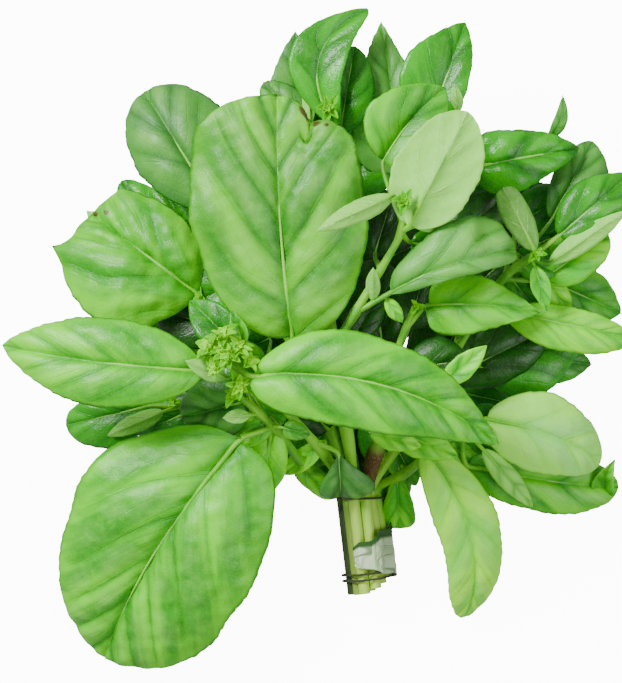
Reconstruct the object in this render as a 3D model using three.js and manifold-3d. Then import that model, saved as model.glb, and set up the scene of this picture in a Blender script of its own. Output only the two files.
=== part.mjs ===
// A hand-tied bunch of fresh sweet basil, lying on a table with its leaves fanned out.
//
// The bunch is twelve cut sprigs. Each sprig is one grown piece: a stem, its stalked leaves and
// the young leaves at its head. A neck thread gathers the stems, a lower thread goes twice round
// them near their cut ends, and a pale strip of leaf is wrapped round the stems between the two.
//
// Frame: millimetres, +Z up from the table, origin on the table straight under the neck thread.
// +Y runs from the neck thread out along the sprigs, and +X is to the right seen from above.

import * as THREE from "three";
import { mergeVertices } from "three/addons/utils/BufferGeometryUtils.js";
import Module from "manifold-3d";

const wasm = await Module();
wasm.setup();

// Driving sizes
const STEM_RADIUS = 2.2; // at the neck thread
const STEM_TOP = 0.55; // share of that radius left at a sprig's head
const STEM_GAP = 0.4; // air between stems in the bundle
const THREAD_GAP = 0.8; // air between the stems and the threads, and round the threads
const PETIOLE_RADIUS = 1.15; // where a leaf stalk leaves its stem
const PETIOLE_END = 0.75; // where it has run out under the blade
const BLADE_THICKNESS = 0.8;
const THREAD = 1.0; // thickness of both threads
const THREAD_WIDTH = 1.4; // along the stems
const STRIP_THICKNESS = 0.8; // the pale strip round the stems
const STUMP_LENGTH = 40; // neck thread to the longest cut end
const STUMP_SLANT = 0.118; // sideways drift of the stems, per mm below the neck thread
const STUMP_RISE = 0.03; // how they lift off the table, per mm below the neck thread
const CUT_STEP = 7; // how much shorter the right-hand stem is cut than the left-hand one
const BUNDLE_SIDE = 0.4; // the bundle's middle lies this far to the right of the origin

// The stems stand in the bundle like stacked pipes: rows of three, four, three and two.
const PITCH = 2 * STEM_RADIUS + STEM_GAP;
const ROW = (PITCH * Math.sqrt(3)) / 2;
const FLOOR_ROW = STEM_RADIUS + THREAD_GAP + THREAD;
const slot = (across, row) => [BUNDLE_SIDE + across * PITCH, FLOOR_ROW + row * ROW];

// How a blade narrows: powers of the way from its base and from its tip. Under 1 is round.
const SHAPES = {
  round: [0.5, 0.5],
  oval: [0.55, 0.62],
  ovate: [0.5, 0.85],
  obovate: [0.6, 0.5],
  broad: [0.42, 0.3],
  blunt: [0.5, 0.34],
  delta: [0.34, 0.95],
  lance: [0.75, 0.9],
  long: [0.62, 0.78],
};

// One leaf: where its stalk leaves the stem (a station of the stem's path), where its blade
// starts and ends, how wide it is, its shape, and how it is bent.
const FLAT_FORM = {
  arch: 0.07, // rise of the midrib between base and tip, per length
  sweep: 0, // sideways bow of the midrib, per length, + to the right
  roll: 0, // turn of the blade about its length, degrees, + lowers the right edge
  twist: 0, // roll of the tip against the base, degrees
  cup: -0.12, // lift of both edges, per half width
  puff: 0.07, // swelling of each half between midrib and edge, per half width
  lean: 0, // how much of the width is on the right, -1 to 1
  curl: 0, // drop of the last third of the blade, per length
  ripple: 0, // height of the waves along the edges, mm
  under: false, // the pale lower face is uppermost
};
const leaf = (station, base, tip, width, shape, form = {}) => ({
  station,
  base,
  tip,
  width,
  shape,
  ...FLAT_FORM,
  ...form,
});

// The sprigs, front ones first. Each has its slot in the bundle, its stem's path beyond the neck
// thread (stations 1, 2, 3 and so on), its leaves, and the young leaves of its head.
const SPRIGS = {
  sprig_front_head: {
    slot: slot(-1, 2),
    path: [[-14, 18, 30], [-31, 38, 54], [-46, 51, 68], [-54, 59, 76]],
    leaves: [
      leaf(3.5, [-62, 53, 76], [-143, 63, 60], 35, "long", { arch: 0.1, sweep: -0.02, puff: 0.1 }),
      leaf(3.6, [-43, 51, 80], [55, 24, 74], 37, "long", { arch: 0.09, sweep: -0.1, puff: 0.1 }),
      leaf(2.2, [-27, 66, 68], [-33, 162, 80], 70, "broad", { arch: 0.04, cup: -0.08, ripple: 2, sweep: -0.02 }),
      leaf(3.2, [-53, 50, 72], [-69, 57, 83], 8, "lance", { under: true }),
      leaf(3.4, [-50, 64, 70], [-68, 81, 62], 16, "ovate", { cup: 0.3 }),
      leaf(3.4, [-46, 62, 72], [-51, 77, 76], 7, "lance", { cup: 0.4 }),
      leaf(1.3, [-15, 17, 40], [6, 1, 31], 20, "oval", { arch: 0.1, cup: -0.25 }),
    ],
    head: { at: [-54, 60, 80], lean: [-0.1, 0.15, 1], size: 13, count: 12 },
  },
  sprig_front_lower: {
    slot: slot(-1.5, 1),
    path: [[-21, 13, 24], [-35, 30, 44], [-44, 39, 54]],
    leaves: [
      leaf(2, [-49, 25, 50], [-105, -66, 10], 76, "obovate", { arch: 0.1, sweep: 0.045, puff: 0.09, ripple: 1.5 }),
      leaf(2, [-36, 28, 42], [-39, 0, 24], 17, "ovate"),
      leaf(2, [-31, 30, 54], [-20, 27, 53], 8, "ovate"),
      leaf(2.6, [-44, 35, 55], [-55, 34, 58], 6, "lance", { under: true }),
      leaf(2.7, [-45, 41, 50], [-72, 34, 42], 26, "oval", { puff: 0.16, roll: -10 }),
      leaf(2.9, [-45, 44, 56], [-50, 54, 60], 7, "lance", { cup: 0.4 }),
    ],
    head: { at: [-49, 43, 58], lean: [-0.4, 0.2, 1], size: 8, count: 6 },
  },
  sprig_centre_tall: {
    slot: slot(-0.5, 3),
    path: [[-4, 24, 38], [-9, 62, 60], [-2, 76, 64], [8, 93, 71], [16, 108, 77], [17, 117, 80]],
    leaves: [
      leaf(3, [12, 87, 69], [62, 107, 74], 19, "blunt", { arch: 0.12, sweep: -0.03, curl: 0.1, under: true }),
      leaf(5, [19, 110, 80], [42, 155, 84], 34, "oval", { arch: 0.07, cup: -0.1, under: true }),
      leaf(5.5, [13, 122, 84], [-17, 108, 92], 9, "long", { arch: 0.12, cup: -0.4, under: true }),
      leaf(3, [5, 81, 66], [5, 94, 75], 6, "lance", { under: true }),
      leaf(3, [10, 82, 66], [17, 72, 64], 6, "lance"),
      leaf(5, [21, 110, 76], [38, 112, 74], 6, "lance", { under: true }),
      leaf(5.3, [9, 136, 66], [34, 166, 62], 34, "ovate", { arch: 0.1, sweep: -0.05, cup: 0.15, under: true }),
    ],
    head: { at: [17, 119, 83], lean: [0, 0.4, 1], size: 7, count: 6 },
  },
  sprig_centre_right: {
    slot: slot(0.5, 3),
    path: [[8, 24, 34], [12, 48, 44], [17, 66, 50], [21, 76, 53]],
    leaves: [
      leaf(3.3, [27, 79, 55], [72, 76, 58], 24, "delta", { arch: 0.1, sweep: -0.04 }),
      leaf(2, [33, 47, 50], [51, 63, 56], 10, "lance", { cup: 0.3 }),
      leaf(1.6, [15, 28, 38], [40, 18, 40], 14, "ovate"),
      leaf(2.2, [20, 54, 46], [44, 57, 48], 22, "oval"),
      leaf(2.4, [10, 60, 34], [4, 98, 32], 32, "oval"),
    ],
    head: { at: [22, 78, 56], lean: [0.3, 0.3, 1], size: 6, count: 3 },
  },
  sprig_top: {
    slot: slot(0, 2),
    path: [[-7, 36, 24], [-13, 90, 36], [-15, 130, 44], [-14, 152, 50]],
    leaves: [
      leaf(3.6, [-10, 151, 50], [2, 195, 48], 15, "long", { arch: 0.08, sweep: -0.22, cup: 0.25, roll: -10 }),
      leaf(3.5, [-8, 149, 46], [-3, 184, 42], 18, "oval"),
      leaf(3.6, [-20, 152, 46], [-21, 180, 44], 6, "long", { under: true }),
      leaf(3.2, [-25, 150, 38], [-26, 191, 30], 25, "delta", { cup: 0.15 }),
      leaf(3.4, [-20, 148, 44], [-39, 170, 38], 17, "oval"),
      leaf(2.6, [-8, 118, 46], [-30, 128, 52], 26, "oval"),
      leaf(2.2, [-2, 92, 20], [31, 108, 14], 36, "oval"),
      leaf(1, [-4, 32, 22], [8, 64, 24], 22, "oval"),
    ],
    head: { at: [-13, 157, 55], lean: [0, 0.3, 1], size: 9, count: 6 },
  },
  sprig_right_head: {
    slot: slot(1, 2),
    path: [[20, 28, 28], [34, 51, 36], [45, 71, 42], [58, 90, 48], [68, 98, 52]],
    leaves: [
      leaf(5, [80, 107, 52], [109, 132, 48], 21, "long", { arch: 0.1 }),
      leaf(5, [76, 96, 53], [107, 117, 56], 9, "long", { arch: 0.04, under: true, cup: -0.3 }),
      leaf(4.6, [74, 90, 46], [101, 108, 44], 20, "oval", { arch: 0.1 }),
      leaf(4, [80, 86, 38], [103, 77, 30], 13, "long"),
      leaf(5, [70, 101, 58], [57, 126, 64], 12, "blunt", { cup: -0.5, under: true }),
      leaf(5, [70, 95, 57], [75, 77, 58], 8, "lance", { cup: 0.3 }),
      leaf(3, [58, 77, 43], [114, 65, 36], 14, "long", { arch: 0.1 }),
      leaf(4, [78, 114, 40], [95, 146, 34], 21, "oval"),
      leaf(4, [62, 100, 32], [75, 130, 27], 25, "oval"),
    ],
    head: { at: [70, 99, 56], lean: [0.3, 0.3, 1], size: 6, count: 5 },
  },
  sprig_lower_right: {
    slot: slot(1.5, 1),
    path: [[20, 11, 18], [30, 20, 28], [38, 25, 34], [47, 29, 38]],
    leaves: [
      leaf(3, [34, 21, 37], [46, -50, 6], 28, "ovate", { arch: 0.12, sweep: -0.09, puff: 0.12 }),
      leaf(3.6, [50, 21, 40], [71, -3, 28], 9, "long", { arch: 0.06 }),
      leaf(4, [51, 33, 38], [99, 15, 26], 32, "oval", { arch: 0.12, sweep: -0.06 }),
      leaf(3.4, [50, 17, 30], [100, 0, 14], 25, "long", { arch: 0.08 }),
      leaf(3.5, [97, 1, 16], [101, 15, 23], 8, "lance", { cup: 0.3 }),
      leaf(1, [17, 11, 15], [19, -13, 5], 11, "oval"),
    ],
    head: { at: [50, 30, 41], lean: [0.5, 0.2, 1], size: 6, count: 3 },
  },
  sprig_top_right: {
    slot: slot(0.5, 1),
    path: [[12, 44, 18], [22, 90, 28], [32, 128, 38], [39, 143, 44]],
    leaves: [
      leaf(4, [29, 154, 46], [41, 192, 40], 25, "ovate", { arch: 0.08, cup: 0.15 }),
      leaf(3.9, [40, 157, 50], [38, 168, 54], 5, "lance", { under: true }),
      leaf(3.4, [46, 135, 48], [88, 143, 42], 23, "delta", { arch: 0.12 }),
      leaf(3.6, [48, 142, 40], [80, 145, 34], 14, "long", { arch: 0.12 }),
      leaf(4, [76, 146, 40], [82, 164, 48], 5.5, "lance", { sweep: 0.12 }),
      leaf(3, [18, 133, 36], [9, 195, 32], 28, "delta", { under: true, cup: 0.12 }),
      leaf(2.4, [36, 106, 40], [60, 124, 38], 20, "oval"),
      leaf(2, [40, 84, 16], [66, 116, -1], 34, "oval"),
    ],
    head: { at: [40, 146, 47], lean: [0.2, 0.5, 1], size: 6, count: 3 },
  },
  sprig_right_low: {
    slot: slot(1, 0),
    path: [[22, 30, 8], [38, 46, 16], [48, 53, 22]],
    leaves: [
      leaf(3, [49, 54, 24], [91, 66, 20], 21, "long", { arch: 0.1 }),
      leaf(2.6, [37, 50, 24], [78, 70, 26], 24, "oval", { arch: 0.1 }),
      leaf(2.2, [56, 50, 10], [84, 59, -1], 18, "ovate"),
      leaf(1.6, [26, 44, 12], [48, 82, 8], 32, "oval"),
      leaf(1, [16, 22, 9], [42, 28, 3], 22, "oval"),
    ],
    head: { at: [51, 55, 25], lean: [0.6, 0.4, 1], size: 6, count: 3 },
  },
  sprig_upper_left: {
    slot: slot(-0.5, 1),
    path: [[-14, 34, 19], [-34, 76, 26], [-50, 104, 34]],
    leaves: [
      leaf(3, [-59, 121, 38], [-88, 167, 28], 42, "round", { arch: 0.12, cup: -0.3 }),
      leaf(2.6, [-42, 104, 24], [-46, 146, -1], 34, "oval"),
      leaf(2, [-38, 72, 32], [-62, 74, 36], 20, "oval"),
      leaf(1.8, [-22, 78, 14], [3, 128, 6], 42, "oval"),
      leaf(1, [-12, 28, 22], [-36, 52, 21], 24, "oval"),
    ],
    head: { at: [-53, 108, 37], lean: [-0.4, 0.5, 1], size: 6, count: 3 },
  },
  sprig_left_back: {
    slot: slot(0, 0),
    path: [[-20, 27, 8], [-46, 57, 17], [-61, 78, 25]],
    leaves: [
      leaf(3, [-66, 84, 30], [-122, 98, 22], 54, "oval", { arch: 0.12, cup: -0.15, lean: 0.12 }),
      leaf(2.8, [-68, 90, 22], [-96, 127, 12], 22, "oval"),
      leaf(2.9, [-64, 100, 24], [-82, 127, 19], 22, "oval"),
      leaf(2.5, [-72, 82, 14], [-113, 119, -1], 22, "ovate", { under: true }),
      leaf(2, [-58, 52, 14], [-92, 70, 4], 24, "oval"),
      leaf(1.4, [-30, 44, 12], [-26, 92, 6], 30, "oval"),
    ],
    head: { at: [-64, 82, 29], lean: [-0.5, 0.4, 1], size: 6, count: 3 },
  },
  sprig_left_low: {
    slot: slot(-1, 0),
    path: [[-29, 16, 7], [-54, 31, 14], [-72, 38, 20]],
    leaves: [
      leaf(3, [-86, 38, 20], [-118, 30, 10], 17, "round", { arch: 0.1 }),
      leaf(3, [-80, 36, 26], [-103, 26, 22], 8, "long", { under: true }),
      leaf(2.6, [-68, 36, 20], [-92, 27, 6], 18, "oval"),
      leaf(2, [-50, 26, 8], [-74, 20, -1], 20, "ovate"),
    ],
    head: { at: [-75, 40, 23], lean: [-0.6, 0.2, 1], size: 6, count: 3 },
  },
};

const UP = new THREE.Vector3(0, 0, 1);
const vector = (xyz) => new THREE.Vector3(...xyz);
const radians = (degrees) => (degrees * Math.PI) / 180;

// A closed solid from its vertices and triangles, with triangles that have shrunk to a line left out.
function solidFrom(vertices, triangles) {
  const shape = new THREE.BufferGeometry();
  shape.setAttribute("position", new THREE.Float32BufferAttribute(vertices.flatMap((v) => v.toArray()), 3));
  shape.setIndex(triangles.filter(([a, b, c]) => a !== b && b !== c && c !== a).flat());
  return solidOf(shape);
}

function solidOf(shape) {
  const bare = shape.clone();
  bare.deleteAttribute("normal");
  bare.deleteAttribute("uv");
  const merged = mergeVertices(bare, 1e-4);
  return new wasm.Manifold(
    new wasm.Mesh({
      numProp: 3,
      vertProperties: new Float32Array(merged.attributes.position.array),
      triVerts: new Uint32Array(merged.index.array),
    }),
  );
}

function geometryOf(solid) {
  const { vertProperties, triVerts } = solid.getMesh();
  const shape = new THREE.BufferGeometry();
  shape.setAttribute("position", new THREE.BufferAttribute(vertProperties, 3));
  shape.setIndex(new THREE.BufferAttribute(triVerts, 1));
  const flat = shape.toNonIndexed();
  flat.computeVertexNormals();
  return flat;
}

// A round bar along a curve, closed at both ends, with its radius given along the way.
function bar(curve, steps, sides, radiusAt) {
  const { normals, binormals } = curve.computeFrenetFrames(steps, false);
  const vertices = [];
  const triangles = [];
  for (let i = 0; i <= steps; i++) {
    const centre = curve.getPointAt(i / steps);
    for (let j = 0; j < sides; j++) {
      const angle = (j / sides) * 2 * Math.PI;
      const out = normals[i].clone().multiplyScalar(Math.cos(angle));
      out.addScaledVector(binormals[i], Math.sin(angle));
      vertices.push(centre.clone().addScaledVector(out, radiusAt(i / steps)));
    }
  }
  for (let i = 0; i < steps; i++)
    for (let j = 0; j < sides; j++) {
      const a = i * sides + j;
      const b = i * sides + ((j + 1) % sides);
      triangles.push([a, b, b + sides], [a, b + sides, a + sides]);
    }
  const last = steps * sides;
  for (let j = 1; j < sides - 1; j++) {
    triangles.push([0, j + 1, j]);
    triangles.push([last, last + j, last + j + 1]);
  }
  return solidFrom(vertices, triangles);
}

// A sheet of even thickness from a grid of points on its middle, with a wall round its rim.
// The underside never goes below the table, so what reaches it lies flat on it.
function sheet(rows, columns, pointAt, thickness) {
  const STEP = 1e-3;
  const vertices = [];
  const index = [[], []];
  for (let i = 0; i <= rows; i++) {
    for (let j = 0; j <= columns; j++) {
      const t = i / rows;
      const q = j / columns;
      const middle = pointAt(t, q);
      const tNear = Math.min(Math.max(t, 0.02), 0.98);
      const alongRow = pointAt(tNear + STEP, q).sub(pointAt(tNear - STEP, q));
      const acrossRow = pointAt(tNear, q + STEP).sub(pointAt(tNear, q - STEP));
      const out = alongRow.cross(acrossRow).normalize().multiplyScalar(-thickness / 2);
      const top = middle.clone().add(out);
      const under = middle.clone().sub(out);
      if (out.z < 0) {
        top.z = Math.max(top.z, 0);
        under.z = Math.max(under.z, thickness);
      } else {
        top.z = Math.max(top.z, thickness);
        under.z = Math.max(under.z, 0);
      }
      index[0].push(vertices.push(top) - 1);
      index[1].push(vertices.push(under) - 1);
    }
  }
  const at = (side, i, j) => index[side][i * (columns + 1) + j];
  const triangles = [];
  for (let i = 0; i < rows; i++)
    for (let j = 0; j < columns; j++) {
      const [a, b, c, d] = [[i, j], [i, j + 1], [i + 1, j + 1], [i + 1, j]];
      triangles.push([at(0, ...a), at(0, ...b), at(0, ...c)], [at(0, ...a), at(0, ...c), at(0, ...d)]);
      triangles.push([at(1, ...a), at(1, ...c), at(1, ...b)], [at(1, ...a), at(1, ...d), at(1, ...c)]);
    }
  const rim = [];
  for (let j = 0; j < columns; j++) rim.push([0, j]);
  for (let i = 0; i < rows; i++) rim.push([i, columns]);
  for (let j = columns; j > 0; j--) rim.push([rows, j]);
  for (let i = rows; i > 0; i--) rim.push([i, 0]);
  rim.forEach((here, k) => {
    const next = rim[(k + 1) % rim.length];
    triangles.push([at(0, ...here), at(1, ...here), at(1, ...next)]);
    triangles.push([at(0, ...here), at(1, ...next), at(0, ...next)]);
  });
  return solidFrom(vertices, triangles);
}

// The directions of a blade: along it, across it to the right, and out of its upper side.
function bladeAxes({ base, tip, roll }) {
  const along = vector(tip).sub(vector(base));
  const length = along.length();
  along.normalize();
  const out = UP.clone().addScaledVector(along, -UP.dot(along)).normalize();
  out.applyAxisAngle(along, radians(roll));
  const across = new THREE.Vector3().crossVectors(along, out);
  return { along, across, out, length };
}

// Half a blade's width at t, from 0 at the base to 1 at the tip.
const BLUNT_END = 0.035; // what is left of the width at the very base and tip
function halfWidth({ width, shape }, t) {
  const [fromBase, fromTip] = SHAPES[shape];
  const widest = fromBase / (fromBase + fromTip);
  const swell = (t / widest) ** fromBase * ((1 - t) / (1 - widest)) ** fromTip;
  return (width / 2) * Math.max(swell, BLUNT_END);
}

// A point on the middle of a blade: t along it, q across it from -1 to 1.
function bladePoint(blade, axes, t, q) {
  const { along, across, out, length } = axes;
  const half = halfWidth(blade, t) * (1 + Math.sign(q) * blade.lean);
  const bow = 4 * t * (1 - t);
  const side = Math.abs(q);
  const puff = (blade.under ? -1 : 1) * blade.puff;
  const lift = half * (puff * (1 - (2 * side - 1) ** 2) + blade.cup * side ** 2);
  const wave = blade.ripple * side ** 3 * Math.sin(t * 15 + (q > 0 ? 1.9 : 0));
  const drop = blade.curl * Math.max(0, (t - 0.66) / 0.34) ** 2;
  const turn = radians(blade.twist) * (t - 0.5);
  return vector(blade.base)
    .addScaledVector(along, length * t)
    .addScaledVector(across, length * blade.sweep * bow + q * half * Math.cos(turn))
    .addScaledVector(out, length * (blade.arch * bow - drop) + lift + wave - q * half * Math.sin(turn));
}

// Rows of a blade lie closer together near its base and tip, where its outline turns.
const eased = (t) => 0.45 * t + 0.275 * (1 - Math.cos(Math.PI * t));

function bladeSolid(blade) {
  const axes = bladeAxes(blade);
  const rows = Math.min(7, Math.max(3, Math.round(axes.length / 18) + 2));
  const columns = blade.width > 60 ? 6 : blade.width < 11 ? 2 : 4;
  const pointAt = (t, q) => bladePoint(blade, axes, eased(t), 2 * q - 1);
  return sheet(rows, columns, pointAt, BLADE_THICKNESS);
}

// A leaf stalk: from inside the stem, to the blade's base, and a little way under the midrib.
function petioleSolid(blade, stem, stations) {
  const axes = bladeAxes(blade);
  const below = (t) => bladePoint(blade, axes, t, 0).addScaledVector(axes.out, -PETIOLE_END * 0.6);
  const root = stem.getPoint((NECK_STATION + 1 + blade.station) / stations);
  const curve = new THREE.CatmullRomCurve3([root, below(0), below(0.1), below(0.2)]);
  const size = blade.width < 12 ? 0.75 : 1;
  const radiusAt = (t) => size * THREE.MathUtils.lerp(PETIOLE_RADIUS, PETIOLE_END, t);
  return bar(curve, 3, 4, radiusAt);
}

// The young leaves at a sprig's head: a small core with pointed leaflets round it in a spiral,
// the outer ones spread and the inner ones upright.
const GOLDEN_ANGLE = Math.PI * (3 - Math.sqrt(5));
function headSolids({ at, lean, size, count }) {
  const up = vector(lean).normalize();
  const right = new THREE.Vector3(1, 0, 0).addScaledVector(up, -up.x).normalize();
  const ahead = new THREE.Vector3().crossVectors(up, right);
  const solids = [];
  for (let k = 0; k < count; k++) {
    const inner = k / (count - 1);
    const angle = k * GOLDEN_ANGLE;
    const spread = radians(78 - 62 * inner);
    const reach = size * (1 - 0.3 * inner);
    const out = right.clone().multiplyScalar(Math.cos(angle)).addScaledVector(ahead, Math.sin(angle));
    const start = vector(at).addScaledVector(out, 0.06 * size);
    const tip = vector(at);
    tip.addScaledVector(out, reach * Math.sin(spread)).addScaledVector(up, reach * Math.cos(spread));
    const form = { arch: 0.12, cup: 0.35, puff: 0.05 };
    const blade = leaf(0, start.toArray(), tip.toArray(), 0.42 * size, "long", form);
    const axes = bladeAxes(blade);
    const pointAt = (t, q) => bladePoint(blade, axes, eased(t), 2 * q - 1);
    solids.push(sheet(2, 2, pointAt, BLADE_THICKNESS));
  }
  const core = new THREE.SphereGeometry(0.24 * size, 6, 4);
  core.translate(...at);
  solids.push(solidOf(core));
  return solids;
}

// Where a stem is in the bundle, y mm up from the neck thread (below it y is negative).
const inBundle = ([x, z], y) => new THREE.Vector3(x - STUMP_SLANT * y, y, z - STUMP_RISE * y);

// A stem's middle line. It is straight from its cut end to a little past the neck thread, then
// turns towards the first point of its path.
const NECK_STATION = 2;
const STRAIGHT_PAST_NECK = 3.5;
function stemCurve({ slot: place, path, head }) {
  const fromLeft = ((place[0] - BUNDLE_SIDE) / PITCH + 1.5) / 3;
  const cutEnd = CUT_STEP * fromLeft ** 2 - STUMP_LENGTH;
  const stump = [cutEnd, -6, 0, STRAIGHT_PAST_NECK].map((y) => inBundle(place, y));
  return new THREE.CatmullRomCurve3([...stump, ...[...path, head.at].map(vector)]);
}

// The parts of a sprig in one solid, without the crumbs and hair-thin triangles that joining leaves.
const SLIVER = 0.12;
function sprigSolid(sprig) {
  const curve = stemCurve(sprig);
  const stations = curve.points.length - 1;
  const stem = bar(curve, 2 * stations, 6, stemRadius);
  const stalks = sprig.leaves.map((blade) => petioleSolid(blade, curve, stations));
  const blades = sprig.leaves.map(bladeSolid);
  const grown = wasm.Manifold.union([stem, ...stalks, ...blades, ...headSolids(sprig.head)]);
  const bodies = grown.asOriginal().simplify(SLIVER).decompose();
  return bodies.sort((a, b) => b.volume() - a.volume())[0];
}

function stemRadius(t) {
  return STEM_RADIUS * THREE.MathUtils.lerp(1, STEM_TOP, Math.max(0, (t - 0.35) / 0.65));
}

// The outline round the bundle at a distance from its outer stems' middles, in the XZ plane.
const BUNDLE_CORNERS = [slot(-1, 0), slot(1, 0), slot(1.5, 1), slot(0.5, 3), slot(-0.5, 3), slot(-1.5, 1)];
const CORNER_STEPS = 3;
function bundleOutline(distance) {
  const points = [];
  BUNDLE_CORNERS.forEach(([x, z], k) => {
    const [fromX, fromZ] = BUNDLE_CORNERS.at(k - 1);
    const [toX, toZ] = BUNDLE_CORNERS[(k + 1) % BUNDLE_CORNERS.length];
    const first = Math.atan2(z - fromZ, x - fromX) - Math.PI / 2;
    let last = Math.atan2(toZ - z, toX - x) - Math.PI / 2;
    while (last < first) last += 2 * Math.PI;
    for (let i = 0; i <= CORNER_STEPS; i++) {
      const angle = first + ((last - first) * i) / CORNER_STEPS;
      points.push(new THREE.Vector2(x + distance * Math.cos(angle), z + distance * Math.sin(angle)));
    }
  });
  return points;
}

// One flat turn of thread round the bundle, y mm up from the neck.
function threadTurn(inner, y, slant = 0) {
  const ring = new THREE.Shape(bundleOutline(inner + THREAD));
  ring.holes.push(new THREE.Path(bundleOutline(inner)));
  const turn = new THREE.ExtrudeGeometry(ring, { depth: THREAD_WIDTH, bevelEnabled: false });
  turn.rotateX(Math.PI / 2);
  turn.applyMatrix4(new THREE.Matrix4().makeShear(slant, 0, 0, 0, 0, 0));
  turn.translate(-STUMP_SLANT * y, y + THREAD_WIDTH / 2, -STUMP_RISE * y);
  return solidOf(turn);
}

const THREAD_INNER = STEM_RADIUS + THREAD_GAP;
const LOWER_TURNS = [-31, -33.4];
const LOWER_SLANT = 0.12; // the turns run a little nearer the neck on the right, per mm across

function lowerThreadSolid() {
  const turns = LOWER_TURNS.map((y) => threadTurn(THREAD_INNER, y, LOWER_SLANT));
  const [upper, lower] = LOWER_TURNS;
  const link = new THREE.BoxGeometry(2, upper - lower, THREAD);
  const middle = inBundle([BUNDLE_SIDE, FLOOR_ROW - THREAD_INNER - THREAD / 2], (upper + lower) / 2);
  link.translate(...middle);
  return wasm.Manifold.union([...turns, solidOf(link)]);
}

// The pale strip: it starts low on the right of the bundle and is wound over its top, outside
// the lower thread.
const STRIP_INNER = THREAD_INNER + THREAD + 0.3;
const STRIP_TOP = [-8, -20]; // its upper edge, on the right and where it ends on the left
const STRIP_END = [-33, -28]; // its lower edge, the same way
const STRIP_SPAN = [0.3, 0.76]; // the part of the bundle's outline that it covers
function stripSolid() {
  const outline = bundleOutline(STRIP_INNER + STRIP_THICKNESS / 2);
  const pointAt = (t, q) => {
    const place = THREE.MathUtils.lerp(...STRIP_SPAN, q) * outline.length;
    const here = Math.min(Math.floor(place), outline.length - 2);
    const across = outline[here].clone().lerp(outline[here + 1], place - here);
    const top = THREE.MathUtils.lerp(...STRIP_TOP, q);
    const end = THREE.MathUtils.lerp(...STRIP_END, q);
    return inBundle([across.x, across.y], THREE.MathUtils.lerp(top, end, t));
  };
  return sheet(2, 12, pointAt, STRIP_THICKNESS);
}

const LEAF_GREEN = 0x5fae3c;
const THREAD_GREEN = 0x27321c;
const STRIP_GREEN = 0xc3d2ae;

const bunch = new THREE.Group();
function addPiece(name, solid, color, roughness) {
  const material = new THREE.MeshStandardMaterial({ color, roughness, metalness: 0 });
  const piece = new THREE.Mesh(geometryOf(solid), material);
  piece.name = name;
  bunch.add(piece);
}
for (const [name, sprig] of Object.entries(SPRIGS)) addPiece(name, sprigSolid(sprig), LEAF_GREEN, 0.45);
addPiece("neck_thread", threadTurn(THREAD_INNER, 0), THREAD_GREEN, 0.8);
addPiece("lower_thread", lowerThreadSolid(), THREAD_GREEN, 0.8);
addPiece("pale_strip", stripSolid(), STRIP_GREEN, 0.6);

export default bunch;
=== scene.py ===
"""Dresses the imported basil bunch: fine leaf blades, stems, young leaves, threads and the pale strip."""

import math
from dataclasses import dataclass

import bpy
import numpy as np
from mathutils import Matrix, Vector


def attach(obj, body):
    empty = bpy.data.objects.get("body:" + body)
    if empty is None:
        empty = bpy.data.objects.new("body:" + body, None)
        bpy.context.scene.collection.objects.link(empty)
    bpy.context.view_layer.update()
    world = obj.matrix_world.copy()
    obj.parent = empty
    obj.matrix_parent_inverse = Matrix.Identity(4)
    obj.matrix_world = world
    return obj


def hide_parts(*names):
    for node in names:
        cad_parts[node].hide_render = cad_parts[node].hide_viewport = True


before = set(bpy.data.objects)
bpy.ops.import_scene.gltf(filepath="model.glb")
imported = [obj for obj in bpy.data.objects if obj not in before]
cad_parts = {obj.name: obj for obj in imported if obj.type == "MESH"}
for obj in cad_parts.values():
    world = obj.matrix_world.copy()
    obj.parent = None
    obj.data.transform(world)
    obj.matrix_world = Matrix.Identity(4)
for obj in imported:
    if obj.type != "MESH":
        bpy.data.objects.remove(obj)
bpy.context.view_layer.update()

MM = 0.001  # the tables below are in millimetres, and Blender works in metres

# Sizes that this script shares with the solids
STEM_RADIUS = 2.2
STEM_TOP = 0.55  # share of its girth that a stem still has at its head
STEM_GAP = 0.4
THREAD_GAP = 0.8
PETIOLE_RADIUS = 1.15
THREAD = 1.0
STRIP_THICKNESS = 0.8
STUMP_LENGTH = 40
STUMP_SLANT = 0.118  # sideways, for each mm down the stump
STUMP_RISE = 0.03
CUT_STEP = 7  # how much shorter the last stem on the right is cut
BUNDLE_SIDE = 0.4
PITCH = 2 * STEM_RADIUS + STEM_GAP
ROW = PITCH * math.sqrt(3) / 2
FLOOR_ROW = STEM_RADIUS + THREAD_GAP + THREAD
NECK_STATION = 2
STRAIGHT_PAST_NECK = 3.5
THREAD_INNER = STEM_RADIUS + THREAD_GAP
LOWER_TURNS = (-31, -33.4)  # y of each turn of the lower thread
LOWER_SLANT = 0.12
STRIP_INNER = THREAD_INNER + THREAD + 0.3
STRIP_TOP = (-8, -20)  # y of the strip's edges at its right and its left end
STRIP_END = (-33, -28)
STRIP_SPAN = (0.3, 0.76)  # shares of the way round the bundle

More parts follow.
